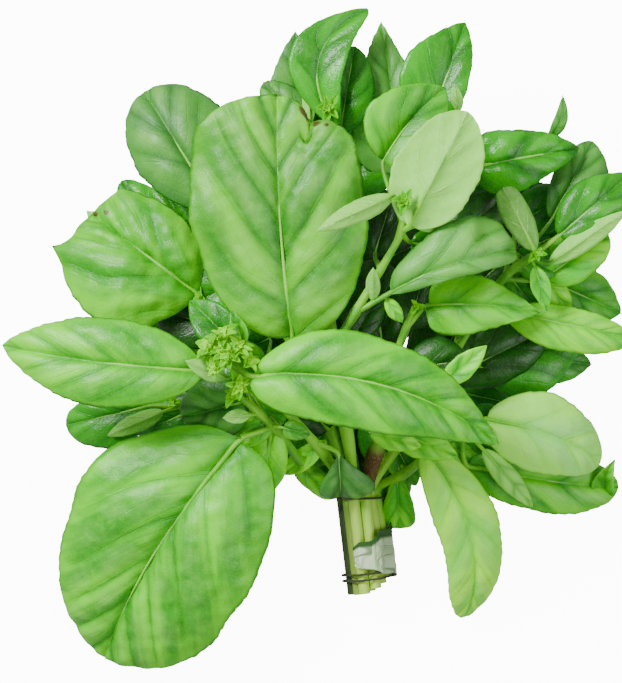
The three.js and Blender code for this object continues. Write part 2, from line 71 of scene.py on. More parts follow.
# Sizes that only the fine pieces have
BLADE = 0.42  # thickness over the middle of a blade
BLADE_EDGE = 0.16  # thickness at its margin
BLADE_ROWS = 0.8  # rows of points for each mm of a blade's length
BLADE_COLUMNS = 0.42  # columns of points beside the midrib for each mm of a blade's width
ROW_LIMITS, COLUMN_LIMITS = (14, 84), (4, 27)
TONE_SHIFT = 0.1  # share by which a leaf may be lighter or darker than its tone
TOOTH_LENGTH = 4.6  # along the margin
TOOTH_HEIGHT = 0.45
TOOTH_RISE = 0.75  # share of a tooth's length, from the blade's base, over which it rises
RIB_SPACING = 20  # mm of a blade's length for each side rib
RIB_COUNTS = (3, 5)  # fewest and most on a side
RIB_SLANT = 0.45  # how far a rib runs towards the tip for each mm that it runs outwards
RIB_FAN = 1.9  # how much more the upper ribs slant
RIB_REACH = 0.9  # share of the midrib that side ribs leave
SWELLING = (0.35, 0.017)  # mm that a blade swells between its ribs, and what each mm of width adds
GROOVE = (0.35, 0.012)  # depth over the midrib, and what each mm of width adds
BEND_STEPS = 60  # steps of a curve between two of its points
STEM_STEP = 2.0  # between the rings along a stem
STALK_STEP = 1.6
NARROW_LEAF, NARROW_STALK = 12, 0.75  # a leaf narrower than this has a stalk of this share of the girth
JOINT_SWELL = 0.1  # share by which a stem is thicker where a leaf stalk leaves it
WOODY_SPRIG = "sprig_centre_right"
WOODY_SPAN = (0, 4, 20, 25)  # y, where the brown bark fades in and out
WOODY_SWELL = 0.6  # share by which the bark makes the stem thicker
PAINTED_SHADE_SPAN = (-4, 8)  # y, where the painted shade on the outer stem at the left fades into a green stem
LEAFLET_LENGTH = 10  # of the one young leaf that every head repeats
LEAFLET_WIDTH = 4.2
HEAD_DENSITY = 2.4  # young leaves for each one that a head's count gives
GOLDEN_ANGLE = math.pi * (3 - math.sqrt(5))
CORNER_STEPS = 8  # steps round each corner of the bundle
STRIP_ROWS, STRIP_COLUMNS = 56, 96
STRIP_SHEET = 0.4  # thickness of the limp sheet
STRIP_RAGGED = (0.8, 0.6)  # how far its upper and its lower edge waver
CUT_RINGS, CUT_SIDES = 5, 24
CUT_CROWN = 0.22  # how far a cap stands out in its middle
CUT_COVER = 0.97  # share of the stem's radius that a cap covers
RIDGES, RIDGE = 4, 0.06  # round a stem, and their height as a share of its girth

# The view and the lights
PHOTO_SIZE = (622, 683)
PIXEL = 0.4  # mm at the height of the bunch's upper leaves
LEAF_HEIGHT = 60
CAMERA_HEIGHT = 1500
ORIGIN_PIXEL = (360, 503)
SENSOR = 36.0
ROOM_LIGHT = 0.5
TABLE_HALF = 3.0  # metres, as are the places and sizes of the lights
TABLE_GLOW = 11
LIGHT_AIM = (0, 0.06, 0.03)
LIGHTS = (("window", (-0.8, 0.7, 1.0), 0.6, 36), ("fill", (0.9, -0.3, 1.1), 1.0, 11))  # place, size, power

# Outlines: how slowly a blade widens from its base, and how slowly it widens from its tip
BLUNT_END = 0.012  # least width at the ends, as a share of the leaf's width
SHAPES = {
    "round": (0.5, 0.5),
    "oval": (0.55, 0.62),
    "ovate": (0.5, 0.85),
    "obovate": (0.6, 0.5),
    "broad": (0.42, 0.3),
    "blunt": (0.5, 0.34),
    "delta": (0.34, 0.95),
    "lance": (0.75, 0.9),
    "long": (0.62, 0.78),
    "egg": (0.42, 0.5),
    "fan": (1.1, 0.25),
    "stub": (0.5, 0.2),
}

# Leaf colours: base; a lighter yellow-green, partly the leaf's own patches and partly painted light through
# the thin blade;
# how much painted grey-green sheen its swellings get; roughness. Like all colours here they are linear, and
# dark enough for the strong soft light on the table.
TONES = {
    "light": ((0.015, 0.29, 0.001), (0.13, 0.66, 0.0), 0.6, 0.4),
    "calm": ((0.017, 0.22, 0.005), (0.12, 0.52, 0.002), 0.8, 0.42),
    # painted sheen: a pale tone that stands for strong sheen on a leaf's upper face
    "painted_sheen": ((0.26, 0.8, 0.14), (0.34, 0.95, 0.07), 0.9, 0.44),
    # painted light: a pale tone that brightens a leaf hanging down, away from the lights
    "fresh": ((0.17, 0.74, 0.04), (0.34, 0.95, 0.02), 0.9, 0.42),
    "mid": ((0.02, 0.3, 0.001), (0.14, 0.64, 0.0), 0.4, 0.4),
    "bright": ((0.04, 0.5, 0.0), (0.26, 0.9, 0.0), 0.15, 0.4),
    "dark": ((0.008, 0.19, 0.001), (0.03, 0.38, 0.002), 0.2, 0.27),
    "crinkled": ((0.006, 0.11, 0.005), (0.05, 0.32, 0.02), 0.5, 0.32),
    # painted shade: near-black leaves that fill the inside of the bunch and darken it like shade
    "painted_shade": ((0.002, 0.045, 0.001), (0.007, 0.1, 0.001), 0.05, 0.34),
    # its grey cast is partly the leaf's own grey-green and partly painted sheen, the silvery look of soft
    # light
    "grey": ((0.038, 0.2, 0.034), (0.055, 0.29, 0.026), 0.6, 0.42),
    "murky": ((0.012, 0.1, 0.01), (0.05, 0.24, 0.03), 0.8, 0.4),
    "pale": ((0.2, 0.62, 0.07), (0.26, 0.78, 0.04), 0.4, 0.5),
    "silver": ((0.075, 0.33, 0.04), (0.1, 0.44, 0.035), 0.8, 0.42),
}


@dataclass
class Leaf:
    """One leaf: the station of its stem that its stalk leaves, its blade's base and tip, its width,
    shape and colour, and how it is bent and marked."""

    station: float
    base: tuple
    tip: tuple
    width: float
    shape: str
    tone: str
    arch: float = 0.07  # rise of its middle, as a share of its length
    sweep: float = 0  # bow to one side, the same way
    roll: float = 0  # degrees about its length
    cup: float = -0.12  # lift of its margins, as a share of its half width
    puff: float = 0.07  # swelling between midrib and margin, the same way
    lean: float = 0  # share by which one side is wider, and the other narrower
    curl: float = 0  # drop of its tip, as a share of its length
    ripple: float = 0  # mm that its margins wave
    under: bool = False  # its pale underside faces up
    quilt: float = 1  # multiplies the swellings between its ribs
    dents: tuple = ()  # each one: share along, mm off the midrib, spread, depth
    marks: tuple = ()  # brown specks: share along, mm off the midrib, size
    nicks: tuple = ()  # each one in the margin: side, share along, spread, depth
    notches: tuple = ()  # in the end: mm off the midrib, spread, share where it starts, depth, rest beyond


@dataclass
class Head:
    """A cluster of young leaves at a sprig's head."""

    at: tuple
    lean: tuple  # the way that it points
    size: float  # length of its outer young leaves
    count: int


@dataclass
class Sprig:
    """A stem's place in the bundle and its path beyond the neck thread, its leaves and its head."""

    node: str
    slot: tuple
    path: list
    leaves: list
    head: Head
    buds: tuple = ()  # more clusters beside the head


def slot(across, row):
    """A stem's place in the bundle's cross-section: x, and the height of its middle over the table."""
    return (BUNDLE_SIDE + across * PITCH, FLOOR_ROW + row * ROW)


SPRIGS = [
    Sprig(
        "sprig_front_head",
        slot=slot(-1, 2),
        path=[(-14, 18, 30), (-31, 38, 54), (-46, 51, 68), (-54, 59, 76)],
        leaves=[
            Leaf(
                3.5, (-62, 53, 76), (-143, 63, 60), 35, "long", "mid",
                arch=0.1, sweep=-0.02, puff=0.1, quilt=1.3,
            ),
            Leaf(
                3.6, (-43, 51, 80), (55, 24, 74), 38, "ovate", "light",
                arch=0.09, sweep=-0.1, puff=0.1, quilt=1.3,
            ),
            Leaf(
                2.2, (-27, 66, 68), (-33, 162, 80), 70, "broad", "calm",
                arch=0.04, cup=-0.08, ripple=2, sweep=-0.02, quilt=1.2,
                dents=((0.9, 12, 3.5, 3), (0.83, 10, 4, 2.6), (0.76, 8, 5, 2), (0.68, 6, 6, 1.2)),
                nicks=((-1, 0.22, 0.12, -0.06), (-1, 0.88, 0.1, -0.08)),
                notches=((11, 2.2, 0.72, 14, 0.72),),
                marks=((0.97, 9, 1.6), (0.97, 15, 2.2), (0.94, 19, 1.3)),
            ),
            Leaf(3.2, (-53, 50, 72), (-69, 57, 83), 8, "lance", "pale", under=True),
            Leaf(3.4, (-50, 64, 70), (-68, 81, 62), 16, "ovate", "dark", cup=0.3),
            Leaf(3.4, (-46, 62, 72), (-51, 77, 76), 7, "lance", "mid", cup=0.4),
            Leaf(1.3, (-8.5, 19, 38), (-7.2, 0.6, 25), 24, "fan", "murky", arch=0.12, cup=-0.1, lean=-0.25),
            Leaf(3, (-42, 52, 58), (-30, 37, 52), 12, "ovate", "bright"),
            Leaf(2.6, (-36, 66, 52), (-54, 58, 50), 15, "ovate", "dark"),
            Leaf(1, (-14, 24, 32), (-31, 10, 20), 9, "long", "bright", cup=0.3),
            Leaf(3.2, (-51, 62, 62), (-37, 50, 58), 15, "ovate", "mid"),
        ],
        head=Head((-53, 58, 79), (-0.35, 0.9, 0.8), 12, 12),
        buds=(
            Head((-57, 60, 79), (-0.9, 0.7, 0.8), 10, 8),
            Head((-50, 59, 80), (0.3, 0.9, 0.9), 10, 8),
            Head((-46, 55, 79), (0.9, 0.5, 0.8), 8, 7),
            Head((-55, 54, 79), (-0.8, 0.1, 1), 8, 7),
            Head((-49, 49, 74), (0.3, -0.4, 1), 8, 7),
            Head((-54, 63, 80), (-0.1, 1, 0.6), 10, 8),
            Head((-52, 58, 83), (-0.1, 0.4, 1), 8, 8),
        ),
    ),
    Sprig(
        "sprig_front_lower",
        slot=slot(-1.5, 1),
        path=[(-21, 13, 24), (-35, 30, 44), (-44, 39, 54)],
        leaves=[
            Leaf(
                2, (-48, 25, 50), (-105, -66, 10), 78, "egg", "light",
                arch=0.1, sweep=0.045, puff=0.09, ripple=1.5, lean=-0.02,
                nicks=((1, 0.3, 0.15, -0.12), (-1, 0.75, 0.15, -0.08)),
            ),
            Leaf(2, (-36, 28, 42), (-39, 0, 24), 17, "ovate", "bright"),
            Leaf(2, (-31, 30, 54), (-20, 27, 53), 8, "ovate", "mid"),
            Leaf(2.6, (-44, 35, 55), (-55, 34, 58), 6, "lance", "pale", under=True),
            Leaf(2.7, (-45, 41, 50), (-72, 34, 42), 26, "oval", "crinkled", puff=0.16, roll=-10),
            Leaf(2.9, (-45, 44, 56), (-50, 54, 60), 7, "lance", "mid", cup=0.4),
            Leaf(1.6, (-36, 34, 44), (-50, 22, 42), 12, "ovate", "bright"),
            Leaf(2.4, (-44, 44, 44), (-66, 50, 40), 20, "oval", "dark"),
            Leaf(2.6, (-48, 47, 46), (-31, 31, 40), 21, "oval", "bright"),
            Leaf(0.6, (-27, 16, 24), (-10, 0, 18), 10, "oval", "mid"),
        ],
        head=Head((-49, 43, 58), (-0.4, 0.2, 1), 8, 6),
    ),
    Sprig(
        "sprig_centre_tall",
        slot=slot(-0.5, 3),
        path=[(-4, 24, 38), (-9, 62, 60), (-2, 76, 64), (8, 93, 71), (16, 108, 77), (17, 117, 80)],
        leaves=[
            Leaf(
                3, (12, 84, 69), (60.5, 101, 74), 22, "stub", "silver",
                arch=0.12, sweep=-0.05, curl=0.16, ripple=1.2, lean=-0.45, quilt=1.5,
                dents=((0.84, -7, 4, 3), (0.92, -2, 4, -2.5), (0.75, -13, 5, -2), (0.9, -13, 4, 2)),
            ),
            Leaf(5, (19, 110, 80), (42, 155, 84), 34, "oval", "pale", arch=0.07, cup=-0.1, under=True),
            Leaf(5.5, (13, 122, 84), (-17, 108, 92), 9, "long", "pale", arch=0.12, cup=-0.4, under=True),
            Leaf(3, (5, 81, 66), (5, 94, 75), 6, "lance", "pale", under=True),
            Leaf(3, (10, 82, 66), (17, 72, 64), 6, "lance", "bright"),
            Leaf(5, (21, 110, 76), (38, 112, 74), 6, "lance", "pale", under=True),
            Leaf(5.3, (9, 136, 66), (34, 166, 62), 34, "ovate", "light", arch=0.1, sweep=-0.05, cup=0.15),
            Leaf(2, (-4, 64, 52), (8, 84, 48), 14, "oval", "painted_shade"),
            Leaf(4, (6, 100, 56), (14, 126, 52), 16, "oval", "painted_shade"),
            Leaf(5, (20, 104, 66), (42, 100, 58), 15, "oval", "dark"),
        ],
        head=Head((17, 119, 83), (0, 0.4, 1), 7, 6),
    ),
    Sprig(
        "sprig_centre_right",
        slot=slot(0.5, 3),
        path=[(8, 24, 34), (12, 48, 44), (17, 66, 50), (21, 76, 53)],
        leaves=[
            Leaf(3.3, (27, 79, 55), (72, 76, 58), 25, "delta", "light", arch=0.1, sweep=-0.04, ripple=1.5),
            Leaf(2, (33, 47, 50), (51, 63, 56), 10, "lance", "bright", cup=0.3),
            Leaf(1.6, (15, 28, 38), (40, 18, 40), 14, "ovate", "bright"),
            Leaf(2.2, (20, 54, 46), (44, 57, 48), 22, "oval", "painted_shade"),
            Leaf(2.4, (10, 60, 34), (4, 98, 32), 32, "oval", "painted_shade"),
            Leaf(2.6, (20, 70, 38), (28, 98, 34), 22, "oval", "painted_shade"),
            Leaf(0.8, (6, 34, 20), (12, 8, 12), 17, "ovate", "dark"),
            Leaf(1.8, (4, 28, 42), (25, 22, 42), 10, "lance", "bright"),
        ],
        head=Head((22, 78, 56), (0.3, 0.3, 1), 6, 3),
    ),
    Sprig(
        "sprig_top",
        slot=slot(0, 2),
        path=[(-7, 36, 24), (-13, 90, 36), (-15, 130, 44), (-14, 152, 50)],
        leaves=[
            Leaf(
                3.6, (-10, 151, 50), (3, 199, 48), 23, "oval", "dark",
                arch=0.08, sweep=-0.26, cup=0.25, roll=-10,
            ),
            Leaf(3.5, (-8, 149, 46), (-2, 184, 42), 22, "oval", "dark"),
            Leaf(3.6, (-20, 152, 46), (-21, 180, 44), 6, "long", "pale", under=True),
            Leaf(3.2, (-25, 150, 38), (-26, 191, 30), 25, "delta", "grey", cup=0.15),
            Leaf(3.4, (-20, 148, 44), (-39, 170, 38), 17, "oval", "grey"),
            Leaf(2.6, (-8, 118, 46), (-30, 128, 52), 26, "oval", "mid"),
            Leaf(2.2, (-2, 92, 20), (31, 108, 14), 36, "oval", "painted_shade"),
            Leaf(1, (-4, 32, 22), (8, 64, 24), 22, "oval", "painted_shade"),
            Leaf(0.5, (-2, 32, 13), (0, 7, 9), 17, "oval", "painted_shade"),
            Leaf(2.4, (-6, 120, 36), (12, 160, 32), 28, "oval", "dark", quilt=1.4),
            Leaf(1.6, (-10, 60, 28), (-26, 84, 26), 22, "oval", "painted_shade"),
        ],
        head=Head((-13, 157, 55), (0, 0.3, 1), 9, 6),
    ),
    Sprig(
        "sprig_right_head",
        slot=slot(1, 2),
        path=[(20, 28, 28), (34, 51, 36), (45, 71, 42), (58, 90, 48), (68, 98, 52)],
        leaves=[
            Leaf(5, (80, 107, 52), (109, 132, 48), 22, "long", "dark", arch=0.1, quilt=1.5),
            Leaf(5, (76, 96, 53), (107, 117, 56), 9, "long", "pale", arch=0.04, under=True, cup=-0.3),
            Leaf(4.6, (74, 90, 46), (101, 108, 44), 20, "oval", "bright", arch=0.1),
            Leaf(4, (80, 88, 38), (107, 76, 30), 24, "ovate", "mid"),
            Leaf(5, (70, 101, 58), (57, 126, 64), 12, "blunt", "grey", cup=-0.5, under=True),
            Leaf(5, (70, 95, 57), (75, 77, 58), 8, "lance", "bright", cup=0.3),
            # its bright tone is painted light that lifts the shadow cast on it by the leaf above
            Leaf(3, (58, 77, 47), (114, 65, 42), 18, "long", "bright", arch=0.1, lean=0.2),
            Leaf(4, (78, 114, 40), (95, 146, 34), 23, "oval", "grey", lean=0.3),
            Leaf(4, (62, 100, 32), (75, 130, 27), 25, "oval", "painted_shade"),
            Leaf(3.4, (60, 92, 40), (74, 75, 36), 17, "oval", "mid"),
            Leaf(4.4, (72, 92, 46), (86, 76, 40), 12, "ovate", "bright"),
            Leaf(2.4, (44, 84, 34), (66, 104, 30), 26, "oval", "painted_shade"),
            Leaf(4.4, (64, 112, 36), (85, 125, 30), 21, "oval", "dark"),
            Leaf(4.6, (63, 100, 48), (81, 92, 46), 15, "oval", "dark"),
            Leaf(4.2, (72, 104, 34), (90, 112, 28), 16, "oval", "dark"),
        ],
        head=Head((70, 99, 56), (0.3, 0.3, 1), 6, 5),
    ),
    Sprig(
        "sprig_lower_right",
        slot=slot(1.5, 1),
        path=[(20, 11, 18), (30, 20, 28), (38, 25, 34), (47, 29, 38)],
        leaves=[
            # the paleness of its fresh tone is painted light: this leaf hangs down, away from the lights
            Leaf(3, (28, 20, 37), (44, -50, 6), 26, "egg", "fresh", arch=0.12, sweep=-0.12, puff=0.12),
            Leaf(3.6, (50, 21, 40), (71, -3, 28), 9, "long", "pale", arch=0.06),
            # its pale tone is painted sheen
            Leaf(4, (51, 33, 38), (99, 15, 26), 33, "oval", "painted_sheen", arch=0.12, sweep=-0.06),
            Leaf(3.4, (44, 14, 30), (107, 4.5, 14), 26, "round", "light", arch=0.08, lean=0.05, sweep=0.02),
            Leaf(3.5, (102, 2, 16), (105, 16, 24), 10, "delta", "mid", cup=0.7, sweep=-0.15),
            Leaf(1, (15.5, 15, 15), (17.3, -13, 5), 14, "fan", "bright"),
            Leaf(2, (32, 24, 30), (50, 12, 26), 12, "ovate", "bright"),
            Leaf(0.8, (14, 24, 18), (24, 5, 12), 15, "ovate", "mid"),
            Leaf(2.4, (40, 32, 26), (64, 24, 16), 22, "oval", "dark"),
            Leaf(0.8, (10, 17, 9), (12, -8, 4), 9, "oval", "dark"),
        ],
        head=Head((50, 30, 41), (0.5, 0.2, 1), 6, 3),
    ),
    Sprig(
        "sprig_top_right",
        slot=slot(0.5, 1),
        path=[(12, 44, 18), (22, 90, 28), (32, 128, 38), (39, 143, 44)],
        leaves=[
            Leaf(4, (29, 154, 46), (43, 194, 40), 28, "ovate", "dark", arch=0.08, cup=0.15, lean=-0.3),
            Leaf(3.9, (40, 157, 50), (38, 168, 54), 5, "lance", "pale", under=True),
            Leaf(3.4, (46, 135, 48), (90, 143, 42), 26, "delta", "dark", arch=0.12, quilt=1.8),
            Leaf(3.6, (48, 142, 40), (80, 145, 34), 14, "long", "dark", arch=0.12),
            Leaf(4, (76, 146, 40), (82, 164, 48), 5.5, "lance", "grey", sweep=0.12),
            Leaf(3, (18, 133, 36), (9, 195, 32), 31, "delta", "silver", cup=0.12, lean=-0.2),
            Leaf(2.4, (36, 106, 40), (60, 124, 38), 20, "oval", "painted_shade"),
            Leaf(2, (40, 84, 16), (66, 116, -1), 34, "oval", "painted_shade"),
            Leaf(1.2, (6, 40, 12), (8, 12, 5), 22, "oval", "painted_shade"),
            Leaf(2.8, (38, 118, 34), (56, 136, 30), 16, "oval", "dark"),
        ],
        head=Head((40, 146, 47), (0.2, 0.5, 1), 6, 3),
    ),
    Sprig(
        "sprig_right_low",
        slot=slot(1, 0),
        path=[(22, 30, 8), (38, 46, 16), (48, 53, 22)],
        leaves=[
            Leaf(3, (49, 54, 24), (91, 66, 20), 28, "long", "dark", arch=0.1, lean=0.25),
            Leaf(2.6, (37, 50, 24), (78, 70, 26), 24, "oval", "painted_shade", arch=0.1),
            Leaf(2.2, (56, 50, 10), (84, 59, -1), 18, "ovate", "dark"),
            Leaf(1.6, (26, 44, 12), (48, 82, 8), 32, "oval", "painted_shade"),
            Leaf(1, (16, 22, 9), (42, 28, 3), 22, "oval", "painted_shade"),
            Leaf(2, (40, 44, 13), (68, 38, 5), 17, "ovate", "dark"),
            Leaf(2.8, (68, 58, 16), (97, 55, 10), 19, "ovate", "dark"),
            Leaf(0.6, (14, 16, 10), (20, 0, 4), 10, "oval", "mid"),
        ],
        head=Head((51, 55, 25), (0.6, 0.4, 1), 6, 3),
    ),
    Sprig(
        "sprig_upper_left",
        slot=slot(-0.5, 1),
        path=[(-14, 34, 19), (-34, 76, 26), (-50, 104, 34)],
        leaves=[
            Leaf(3, (-59, 121, 38), (-88, 167, 28), 42, "round", "grey", arch=0.12, cup=-0.3, lean=0.08),
            Leaf(2.6, (-42, 104, 24), (-46, 146, -1), 34, "oval", "painted_shade"),
            Leaf(2, (-38, 72, 32), (-62, 74, 36), 20, "oval", "dark"),
            Leaf(1.8, (-22, 78, 14), (3, 128, 6), 42, "oval", "painted_shade"),
            Leaf(1, (-12, 28, 22), (-36, 52, 21), 24, "oval", "painted_shade"),
            Leaf(2.4, (-48, 96, 26), (-74, 116, 20), 26, "oval", "dark"),
            Leaf(0.8, (-10, 34, 14), (-26, 10, 6), 20, "ovate", "mid"),
            Leaf(0.6, (-10, 26, 10), (-15, 3, 5), 12, "oval", "dark"),
            Leaf(2, (-43, 92, 30), (-68, 80, 27), 28, "oval", "dark"),
        ],
        head=Head((-53, 108, 37), (-0.4, 0.5, 1), 6, 3),
    ),
    Sprig(
        "sprig_left_back",
        slot=slot(0, 0),
        path=[(-20, 27, 8), (-46, 57, 17), (-61, 78, 25)],
        leaves=[
            Leaf(
                3, (-66, 84, 30), (-108, 116, 22), 57, "obovate", "mid",
                arch=0.12, cup=-0.15, lean=-0.24, quilt=1.9,
                dents=((0.5, -8, 6, -1.5), (0.7, 3, 5, -1.5)),
                notches=((-21, 7, 0.6, -16, 0), (15, 6, 0.4, -7, 0)),
                marks=((0.98, 1, 1.8), (0.9, 4, 1.3)),
            ),
            Leaf(2.8, (-68, 90, 22), (-98, 131, 12), 24, "oval", "dark"),
            Leaf(2.9, (-64, 100, 24), (-83, 131, 19), 24, "oval", "dark"),
            Leaf(2.5, (-72, 82, 14), (-113, 119, -1), 22, "ovate", "pale", under=True),
            Leaf(2, (-58, 52, 14), (-92, 70, 4), 24, "oval", "mid"),
            Leaf(1.4, (-30, 44, 12), (-26, 92, 6), 30, "oval", "painted_shade"),
            Leaf(2.2, (-56, 70, 24), (-84, 78, 16), 24, "oval", "painted_shade"),
            Leaf(1, (-24, 30, 8), (-40, 16, 4), 18, "oval", "dark"),
            Leaf(1.8, (-46, 56, 17), (-62, 50, 12), 20, "oval", "painted_shade"),
        ],
        head=Head((-64, 82, 29), (-0.5, 0.4, 1), 6, 3),
    ),
    Sprig(
        "sprig_left_low",
        slot=slot(-1, 0),
        path=[(-29, 16, 7), (-54, 31, 14), (-72, 38, 20)],
        leaves=[
            Leaf(3, (-86, 38, 20), (-121, 30, 10), 22, "round", "dark", arch=0.1, lean=-0.2),
            Leaf(3, (-80, 36, 26), (-103, 26, 22), 8, "long", "pale", under=True),
            Leaf(2.6, (-68, 36, 20), (-92, 27, 6), 18, "oval", "dark"),
            Leaf(2, (-50, 26, 8), (-74, 20, -1), 20, "ovate", "mid"),
            Leaf(2.2, (-56, 40, 14), (-84, 46, 8), 26, "oval", "painted_shade"),
        ],
        head=Head((-75, 40, 23), (-0.6, 0.2, 1), 6, 3),
    ),
]

UP = np.array((0.0, 0.0, 1.0))


def unit(v):
    return v / np.linalg.norm(v, axis=-1, keepdims=True)


# Blades


def blade_axes(leaf):
    """The directions along, across and out of a blade, and its length."""
    along = np.subtract(leaf.tip, leaf.base).astype(float)
    length = np.linalg.norm(along)
    along /= length
    out = unit(UP - along * along[2])
    turn = math.radians(leaf.roll)
    out = out * math.cos(turn) + np.cross(along, out) * math.sin(turn)
    return along, np.cross(along, out), out, length


def half_width(leaf, t):
    """Half the width of a blade at shares t of its length, before teeth and unevenness."""
    from_base, from_tip = SHAPES[leaf.shape]
    widest = from_base / (from_base + from_tip)
    swell = (t / widest) ** from_base * ((1 - t) / (1 - widest)) ** from_tip
    return leaf.width / 2 * np.maximum(swell, BLUNT_END)


def blade_surface(leaf, t, q, grow=1.0):
    """Points on the middle of a blade: t along it, q across it from -1 to 1."""
    along, across, out, length = blade_axes(leaf)
    half = half_width(leaf, t) * (1 + np.sign(q) * leaf.lean) * grow
    bow = 4 * t * (1 - t)
    side = np.abs(q)
    puff = -leaf.puff if leaf.under else leaf.puff
    lift = half * (puff * (1 - (2 * side - 1) ** 2) + leaf.cup * side**2)
    wave = leaf.ripple * side**3 * np.sin(t * 15 + np.where(q > 0, 1.9, 0))
    drop = leaf.curl * np.clip((t - 0.66) / 0.34, 0, None) ** 2
    forward = length * t
    sideways = length * leaf.sweep * bow + q * half
    upward = length * (leaf.arch * bow - drop) + lift + wave
    return (
        np.array(leaf.base, float)
        + forward[..., None] * along
        + sideways[..., None] * across
        + upward[..., None] * out
    )


def waves(place, rng, lengths):
    """Smooth noise at each place: sines in chance directions, with these wavelengths, from -1 to 1."""
    total = np.zeros(place.shape[:-1])
    for length in lengths:
        for _ in range(3):
            heading = rng.uniform(0, 2 * math.pi)
            run = place[..., 0] * math.cos(heading) + place[..., 1] * math.sin(heading)
            total += np.sin(run * 2 * math.pi / length + rng.uniform(0, 2 * math.pi))
    return total / (3 * len(lengths))


def rib_phase(leaf, t, off_midrib, length, rng):
    """Counts the side ribs: whole numbers lie on a rib. They leave the midrib slanting to the tip, the
    upper ones more steeply, and bend further towards it. Also gives the gap between them in mm."""
    ribs = float(np.clip(round(length / RIB_SPACING), *RIB_COUNTS))
    reach = np.abs(off_midrib)
    bend = RIB_SLANT * reach + RIB_SLANT * reach**2 / (leaf.width / 2)
    start = (t - bend / length) / (1 + RIB_FAN * reach / length)
    stagger = np.where(off_midrib < 0, rng.uniform(-0.25, 0.25), 0)
    wander = 0.16 * waves(np.stack((off_midrib, t * length), -1), rng, (0.55 * length,))
    phase = ribs * (start + 0.02) / RIB_REACH + stagger + wander
    return phase, 0.6 * length * RIB_REACH / ribs


def blade_relief(leaf, t, q, half, length, rng):
    """How far the blade swells between its ribs, in mm, with the rib counts and the swelling alone."""
    off_midrib = q * half
    phase, gap = rib_phase(leaf, t, off_midrib, length, rng)
    to_rib = np.abs(phase - np.round(phase)) * gap
    to_rib = np.where(phase < -0.5, 0.5 * gap, to_rib)
    reach = np.abs(off_midrib)
    side = np.abs(q)
    swell = 1 - np.exp(-np.sqrt(to_rib**2 + 0.1) / (0.2 * gap))
    swell *= 1 - np.exp(-((reach / (0.035 * leaf.width + 0.9)) ** 1.3))
    swell *= 1 - 0.8 * side**4
    height = leaf.quilt * (SWELLING[0] + SWELLING[1] * leaf.width)
    place = np.stack((off_midrib, t * length), -1)
    uneven = waves(place, rng, (0.3 * length, 17))
    blisters = np.sin(reach / 2.6 + 2.4 * np.round(phase) + rng.uniform(0, 6.3)) * swell
    relief = height * (swell * (1 + 0.45 * uneven) + 0.1 * blisters)
    relief += height * (0.6 * waves(place, rng, (0.42 * length + 4,)) + 0.36 * waves(place, rng, (11, 6.5)))
    groove = (GROOVE[0] + GROOVE[1] * leaf.width) * (1 - 0.7 * t)
    relief -= groove * np.exp(-reach / (0.03 * leaf.width + 0.5))
    for at, off, spread, depth in leaf.dents:
        away = np.hypot(t * length - at * length, off_midrib - off)
        relief -= depth * np.exp(-((away / spread) ** 2))
    return relief, phase, gap, swell


def eased(t):
    """Rows lie closer together near a blade's base and tip, where its outline turns."""
    return 0.62 * t + 0.19 * (1 - np.cos(np.pi * t))


def margin_teeth(leaf, t, q, half, length, rng):
    """What the outline is multiplied by: low teeth that point to the tip, and slight unevenness."""
    teeth = max(4, round(length / TOOTH_LENGTH))
    part = (t * teeth + np.where(q > 0, 0.35, 0)) % 1
    saw = np.where(part < TOOTH_RISE, part / TOOTH_RISE, (1 - part) / (1 - TOOTH_RISE)) - 0.5
    height = TOOTH_HEIGHT * min(1, leaf.width / 30)
    swing = np.where(q > 0, rng.uniform(0, 6.3), rng.uniform(0, 6.3))
    uneven = 0.03 * np.sin(5.2 * t + swing) + 0.02 * np.sin(13 * t + 2.1 * swing)
    uneven += 0.008 * np.sin(29 * t + 1.7 * swing)
    for side, at, spread, depth in leaf.nicks:
        uneven -= np.where(q * side > 0, depth * q * q * np.exp(-(((t - at) / spread) ** 2)), 0)
    shown = np.clip((t - 0.12) / 0.2, 0, 1)
    return 1 + uneven + shown * height * saw * np.abs(q) ** 4 / np.maximum(half, 1)


class Shell:
    """Vertices, faces and point values of a mesh, gathered from several parts."""

    def __init__(self):
        self.points, self.faces, self.smooth, self.values, self.count = [], [], [], {}, 0

    def add(self, points, faces, rim=0, **values):
        """Adds a part. Its last faces, as many as rim says, are its rim and stay flat shaded."""
        self.points.append(points)
        self.faces.append(np.asarray(faces) + self.count)
        self.smooth.append(np.arange(len(faces)) < len(faces) - rim)
        for name, value in values.items():
            value = np.broadcast_to(np.asarray(value, float), (len(points), np.shape(value)[-1]))
            self.values.setdefault(name, []).append(value)
        self.count += len(points)

    def mesh(self, name):
        points = np.concatenate(self.points) * MM
        faces = np.concatenate(self.faces)
        mesh = bpy.data.meshes.new(name)
        mesh.from_pydata(points.tolist(), [], faces.tolist())
        for title, parts in self.values.items():
            value = np.concatenate(parts)
            kind, key = ("FLOAT_COLOR", "color") if value.shape[1] == 4 else ("FLOAT_VECTOR", "vector")
            attribute = mesh.attributes.new(title, kind, "POINT")
            attribute.data.foreach_set(key, value.ravel())
        mesh.polygons.foreach_set("use_smooth", np.concatenate(self.smooth))
        mesh.update()
        return mesh


def grid_faces(rows, columns):
    """Faces of a closed sheet: its upper side, its lower side and its rim."""
    width = columns + 1
    i, j = np.meshgrid(np.arange(rows), np.arange(columns), indexing="ij")
    corner = (i * width + j).ravel()
    upper = np.stack((corner, corner + 1, corner + width + 1, corner + width), 1)
    lower = upper[:, ::-1] + (rows + 1) * width
    rim = list(range(columns))
    rim += [i * width + columns for i in range(rows)]
    rim += [rows * width + j for j in range(columns, 0, -1)]
    rim += [i * width for i in range(rows, 0, -1)]
    rim = np.array(rim)
    after = np.roll(rim, -1)
    below = (rows + 1) * width
    edge = np.stack((rim, rim + below, after + below, after), 1)
    return np.concatenate((upper, lower, edge))


